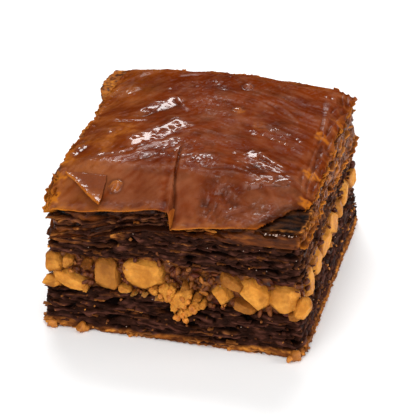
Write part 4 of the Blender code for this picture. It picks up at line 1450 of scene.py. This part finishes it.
def chipKinds(count):  # thin, bent scraps of leaf; x runs along the wall and y out of it
    kinds = []
    for n in range(count):
        def shape(u, v):
            ragged = 1 + 0.3 * fieldNoise(u * 2.0 + n * 5, v * 0 + 0.5, 450)
            return (
                u + 0.1 * fieldNoise(v * 3, u * 3 + n, 451),
                v * ragged,
                0.5 * fieldNoise(u * 1.2 + n * 3, v * 0.8, 452) + 0.25 * (n - 2) * u * u / 3,
            )

        chip = thinSheet(f"chipKind{n}", 8, 3, shape, 0.3)
        movePoints(chip, readPoints(chip) / mm)
        bpy.ops.object.mode_set(mode="EDIT")
        bpy.ops.mesh.select_all(action="SELECT")
        bpy.ops.mesh.quads_convert_to_tris()
        bpy.ops.object.mode_set(mode="OBJECT")
        kinds.append(chip)
    return kinds


def scatterBits(name, spots, kinds, material, slot, *nodes):
    # spots: place, sizes along x, y, z, turn, and the marks that the material reads
    draw = random.Random(name)
    shapes = []
    for kind in kinds:
        faces = np.array([tuple(f.vertices) for f in kind.data.polygons])
        shapes.append((readPoints(kind), faces))
    allPoints, allFaces, start = [], [], 0
    marks = {mark: [] for mark in spots[0]["marks"]}
    for spot in spots:
        points, faces = draw.choice(shapes)
        allPoints.append((points * spot["size"]) @ np.array(spot["turn"]).T + spot["place"])
        allFaces.append(faces + start)
        for mark, value in spot["marks"].items():
            marks[mark].append(np.full(len(points), value))
        start += len(points)
    mesh = bpy.data.meshes.new(name)
    mesh.from_pydata((np.concatenate(allPoints) * mm).tolist(), [], np.concatenate(allFaces).tolist())
    piece = bpy.data.objects.new(name, mesh)
    bpy.context.scene.collection.objects.link(piece)
    for mark, values in marks.items():
        paint(piece, mark, np.concatenate(values))
    return finishPiece(piece, material, slot, *nodes)


def bitAt(place, size, turn, **marks):
    return {"place": place, "size": size, "turn": turn, "marks": marks}


def flareAt(z):  # how far the wall stands out at that height
    return max(block["flare"] * (1 - z / block["flareHeight"]), 0)


def anyTurn(draw):
    return Quaternion([draw.gauss(0, 1) for _ in range(4)]).normalized().to_matrix()


def alongWall(draw, x, y, tilt):  # x along the wall, y out of it, with a random tilt
    heading = math.atan2(y / halfY, x / halfX)
    heading = round(heading / (math.pi / 2)) * math.pi / 2 - math.pi / 2
    return Euler((draw.gauss(0, tilt), draw.gauss(0, tilt), heading + draw.gauss(0, tilt))).to_matrix()


def wallSpot(share, out):  # a point on the cut outline, moved out
    x = float(np.interp(share, way, ringX))
    y = float(np.interp(share, way, ringY))
    return x * (1 + out / halfX), y * (1 + out / halfY)


def betweenSpots():
    draw = random.Random(21)
    spots = []
    for _ in range(bits["between"]):
        x, y = wallSpot(draw.uniform(0.001, 0.999), draw.uniform(-1.3, 0.0))
        low, high = float(lowerFace(x, y)), float(upperFace(x, y))
        size = draw.uniform(0.3, 0.9) ** 1.3
        z = draw.uniform(low + size * 0.5, high - size * 0.5)
        if underNut(x, y, z):
            continue
        tone = draw.choice((0.0, 0.0, 0.05, 0.1, 0.15, 0.3, 0.6))
        sizes = (size * draw.uniform(1.0, 1.6), size * draw.uniform(0.5, 1.0), size * draw.uniform(0.4, 0.8))
        spots.append(bitAt((x, y, z), sizes, anyTurn(draw), tone=tone))
    for (x, z), width, height, pale in crumbleClump[:4]:
        for _ in range(bits["onClump"]):
            turn, far = draw.uniform(0, math.tau), draw.uniform(0.1, 0.8) ** 0.5
            own = draw.uniform(0.6, 0.95)
            place = (
                x + 0.5 * width * far * math.cos(turn),
                -halfY - 0.6 - 0.8 * (1 - far**2) + draw.uniform(-0.1, 0.3),
                z + 0.5 * height * far * math.sin(turn),
            )
            tone = pale * draw.choice((0.85, 1.0, 1.0))
            spots.append(bitAt(place, (own, own * 0.8, own * 0.9), anyTurn(draw), tone=tone))
    for (x, z), radius in darkLumps:
        for _ in range(3):
            own = radius * draw.uniform(0.55, 0.85)
            place = (
                x + draw.gauss(0, radius * 0.4),
                -halfY + 0.25 + draw.uniform(-0.2, 0.3),
                z + draw.gauss(0, radius * 0.35),
            )
            sizes = (own, own * draw.uniform(0.7, 1.0), own * draw.uniform(0.7, 0.95))
            spots.append(bitAt(place, sizes, anyTurn(draw), tone=draw.uniform(0.0, 0.22)))
    return spots


def crumbSpots():
    draw = random.Random(23)
    spots = []
    clusters = (  # x, y and size
        (-24.3, -30.1, 1.0), (-18.3, -30.3, 1.25), (25.4, -30.0, 1.3),
        (-8.0, -29.8, 0.5), (12.0, -29.7, 0.45),
    )
    for x, y, size in clusters:
        for n in range(4):
            own = size * (0.95 if n == 0 else draw.uniform(0.45, 0.7))
            shift = 0 if n == 0 else size * 0.55
            place = (x + draw.gauss(0, shift), y + draw.gauss(0, shift * 0.5), own * 0.95)
            tone = draw.uniform(0.45, 0.8)
            spots.append(bitAt(place, (own, own, own * 0.85), anyTurn(draw), tone=tone))
    for _ in range(bits["crumbs"]):
        x, y = wallSpot(draw.uniform(0.001, 0.999), draw.uniform(0.9, 1.25))
        own = draw.uniform(0.2, 0.5)
        tone = draw.uniform(0.3, 0.9)
        place = (x, y, draw.uniform(own, 1.2))
        spots.append(bitAt(place, (own, own, own * 0.8), anyTurn(draw), tone=tone))
    return spots


def leafBitSpots():
    draw = random.Random(24)
    spots = []
    for n in range(bits["onLeaves"]):
        share = draw.uniform(0.001, 0.999)
        z = draw.uniform(1.6, 8.0) if n % 3 else draw.uniform(16.5, 22.5)
        x, y = wallSpot(share, block["flare"] * (1 - z / block["flareHeight"]) + draw.uniform(-0.1, 0.2))
        own = draw.uniform(0.12, 0.42)
        tone = draw.choice((0.1, 0.25, 0.5, 0.85))
        spots.append(bitAt((x, y, z), (own, own, own * 0.8), anyTurn(draw), tone=tone))
    return spots


def dropSpots():  # tiny drops on the cut sides, coloured pale as painted glints
    draw = random.Random(27)
    spots = []
    for _ in range(bits["drops"]):
        share = draw.uniform(0.001, 0.999)
        x, y = wallSpot(share, 0.0)
        z = draw.uniform(1.5, float(secondSheetHeight(x, y)) - 0.4)
        x, y = wallSpot(share, flareAt(z) + draw.uniform(-0.15, 0.0))
        own = draw.uniform(0.05, 0.12)
        spots.append(bitAt((x, y, z), (own, own, own), anyTurn(draw), tone=1.0))
    return spots


def chipSpots():
    draw = random.Random(25)
    spots = []
    for n in range(bits["chips"]):
        share = draw.uniform(0.001, 0.999)
        x, y = wallSpot(share, 0.0)
        low, high = float(lowerFace(x, y)), float(upperFace(x, y))
        second = float(secondSheetHeight(x, y))
        zone = n % 5
        if zone < 2:
            z = draw.uniform(0.8, low - 0.3)
        elif zone < 4:
            z = draw.uniform(high + 0.3, second)
        else:
            z = draw.uniform(second, float(topFace(x, y)) - 1.5)
        deep = float(gapDepth(x, y)) * 0.6 if zone == 4 else 0.0
        onLeft = 0.5 if x < -24.5 else 0.0
        x, y = wallSpot(share, flareAt(z) - deep + draw.uniform(-0.45, 0.1) - 0.6 * onLeft)
        size = (draw.uniform(0.5, 1.6), draw.uniform(0.35, 0.7), draw.uniform(0.3, 0.55))
        browned = min(1.0, draw.choice((0, 0, 0, 0.3, 0.9)) * (0.6 if zone < 4 else 1.4) + onLeft)
        marks = {"tone": draw.uniform(0.2, 1.0), "edge": draw.uniform(0.3, 1.0), "browned": browned}
        spots.append(bitAt((x, y, z), size, alongWall(draw, x, y, 0.12), **marks))
    return spots


def makeGlintBeads():  # tiny drops along the front of the torn corner, coloured pale as painted glints
    draw = random.Random(26)
    beads = []
    for n in range(bits["beads"]):
        bpy.ops.mesh.primitive_ico_sphere_add(subdivisions=3, radius=1.0)
        bead = newPiece(f"bead{n}")
        x = 18.6 + 0.52 * n + draw.uniform(-0.25, 0.25)
        y = -halfY - 0.42
        past = float(smooth(tearSide(x, y) / 6.0))
        z = float(topFace(x, y)) - 1.5 - (topFront["tearDrop"] - 0.45) * past + draw.uniform(-0.22, 0.22)
        size = draw.uniform(0.08, 0.22)
        points = readPoints(bead) * (size * draw.uniform(0.9, 1.3), size, size * 0.5)
        points[:, 2] += 0.22 * points[:, 1]
        movePoints(bead, (points + (x, y, z)) * mm)
        beads.append(bead)
    piece = joinPieces(beads, "glintBeads")
    return finishPiece(piece, syrupDrop, "glazed_pastry", "upper_pastry")


def makeBits():
    grains = bitKinds(bits["kinds"])
    chips = chipKinds(bits["kinds"])
    scatterBits("groundBits", betweenSpots(), grains, groundNut, "hazelnut_filling", "nut_filling")
    scatterBits("baseCrumbs", crumbSpots(), grains, groundNut, "hazelnut_filling")
    scatterBits("leafCrumbs", leafBitSpots(), grains, groundNut, "hazelnut_filling")
    scatterBits("leafChips", chipSpots(), chips, cocoaLeaf, "cocoa_pastry")
    scatterBits("syrupDrops", dropSpots(), grains, syrupDrop, "glazed_pastry")
    for kind in grains + chips:
        bpy.data.objects.remove(kind)


def makeGroundCore():  # the ground nuts between the chopped ones
    around, rows = 420, 34
    way, x, y = outline(around)
    low, high = lowerFace(x, y) - 0.3, upperFace(x, y) + 0.3
    level = low + (high - low) * np.linspace(0, 1, rows)[:, None]
    ways = np.broadcast_to(way, level.shape)
    lumps = np.abs(ringField(ways, level, 1.5, 1.4, 501)) + 0.5 * ringField(ways, level, 0.7, 0.6, 502)
    tone = np.clip(0.12 + 0.35 * ringField(ways, level, 2.2, 1.8, 503), 0, 0.5)
    core = wrapBlock("groundCore", -1.5 + 0.6 * lumps, level, {"tone": tone})
    return finishPiece(core, groundNut, "hazelnut_filling", "nut_filling")


makeBits()
makeGlintBeads()
makeGroundCore()
print("bits made")

# Floor, lights and camera
studio = {
    "cameraPlace": (86.75, -336.4, 207.19),
    "aim": (0.0, 0.5, 14.3),
    "lens": 165.0,
    "world": 0.24,
    "lights": (  # name, place in metres, size, power
        ("keyLight", (-0.13, 0.48, 0.62), (0.42, 0.24), 3.9),
        ("overLight", (0.05, -0.25, 0.75), (0.6, 0.6), 1.9),
        ("frontLight", (-0.15, -0.75, 0.36), (0.7, 0.5), 4.8),
        ("rightLight", (0.75, 0.0, 0.22), (0.5, 0.4), 4.2),
    ),
}


def aimAt(item, target):
    item.rotation_mode = "QUATERNION"
    item.rotation_quaternion = (Vector(target) - item.location).to_track_quat("-Z", "Y")


def addLight(name, place, size, power):
    light = bpy.data.lights.new(name, "AREA")
    light.shape = "RECTANGLE"
    light.size, light.size_y = size
    light.energy = power
    item = bpy.data.objects.new(name, light)
    bpy.context.scene.collection.objects.link(item)
    item.location = place
    aimAt(item, (0, 0, 0.015))


def makeStudio():
    deselectAll()
    bpy.ops.mesh.primitive_plane_add(size=8)
    floor = newPiece("floor")
    material, _, shader = newMaterial("paleFloor")
    fix(shader, Base_Color=rgb(0.98, 0.98, 0.98), Roughness=0.8)
    floor.data.materials.append(material)
    world = bpy.data.worlds.new("studio")
    bpy.context.scene.world = world
    world.use_nodes = True
    background = world.node_tree.nodes["Background"]
    background.inputs["Color"].default_value = rgb(1, 1, 1)
    background.inputs["Strength"].default_value = studio["world"]
    for name, place, size, power in studio["lights"]:
        addLight(name, place, size, power)
    scene = bpy.context.scene
    scene.view_settings.view_transform = "Standard"
    camera = bpy.data.cameras.new("camera")
    camera.lens = studio["lens"]
    camera.clip_start = 0.01
    item = bpy.data.objects.new("camera", camera)
    scene.collection.objects.link(item)
    item.location = Vector(studio["cameraPlace"]) * mm
    aimAt(item, Vector(studio["aim"]) * mm)
    scene.camera = item


makeStudio()
print("studio ready")
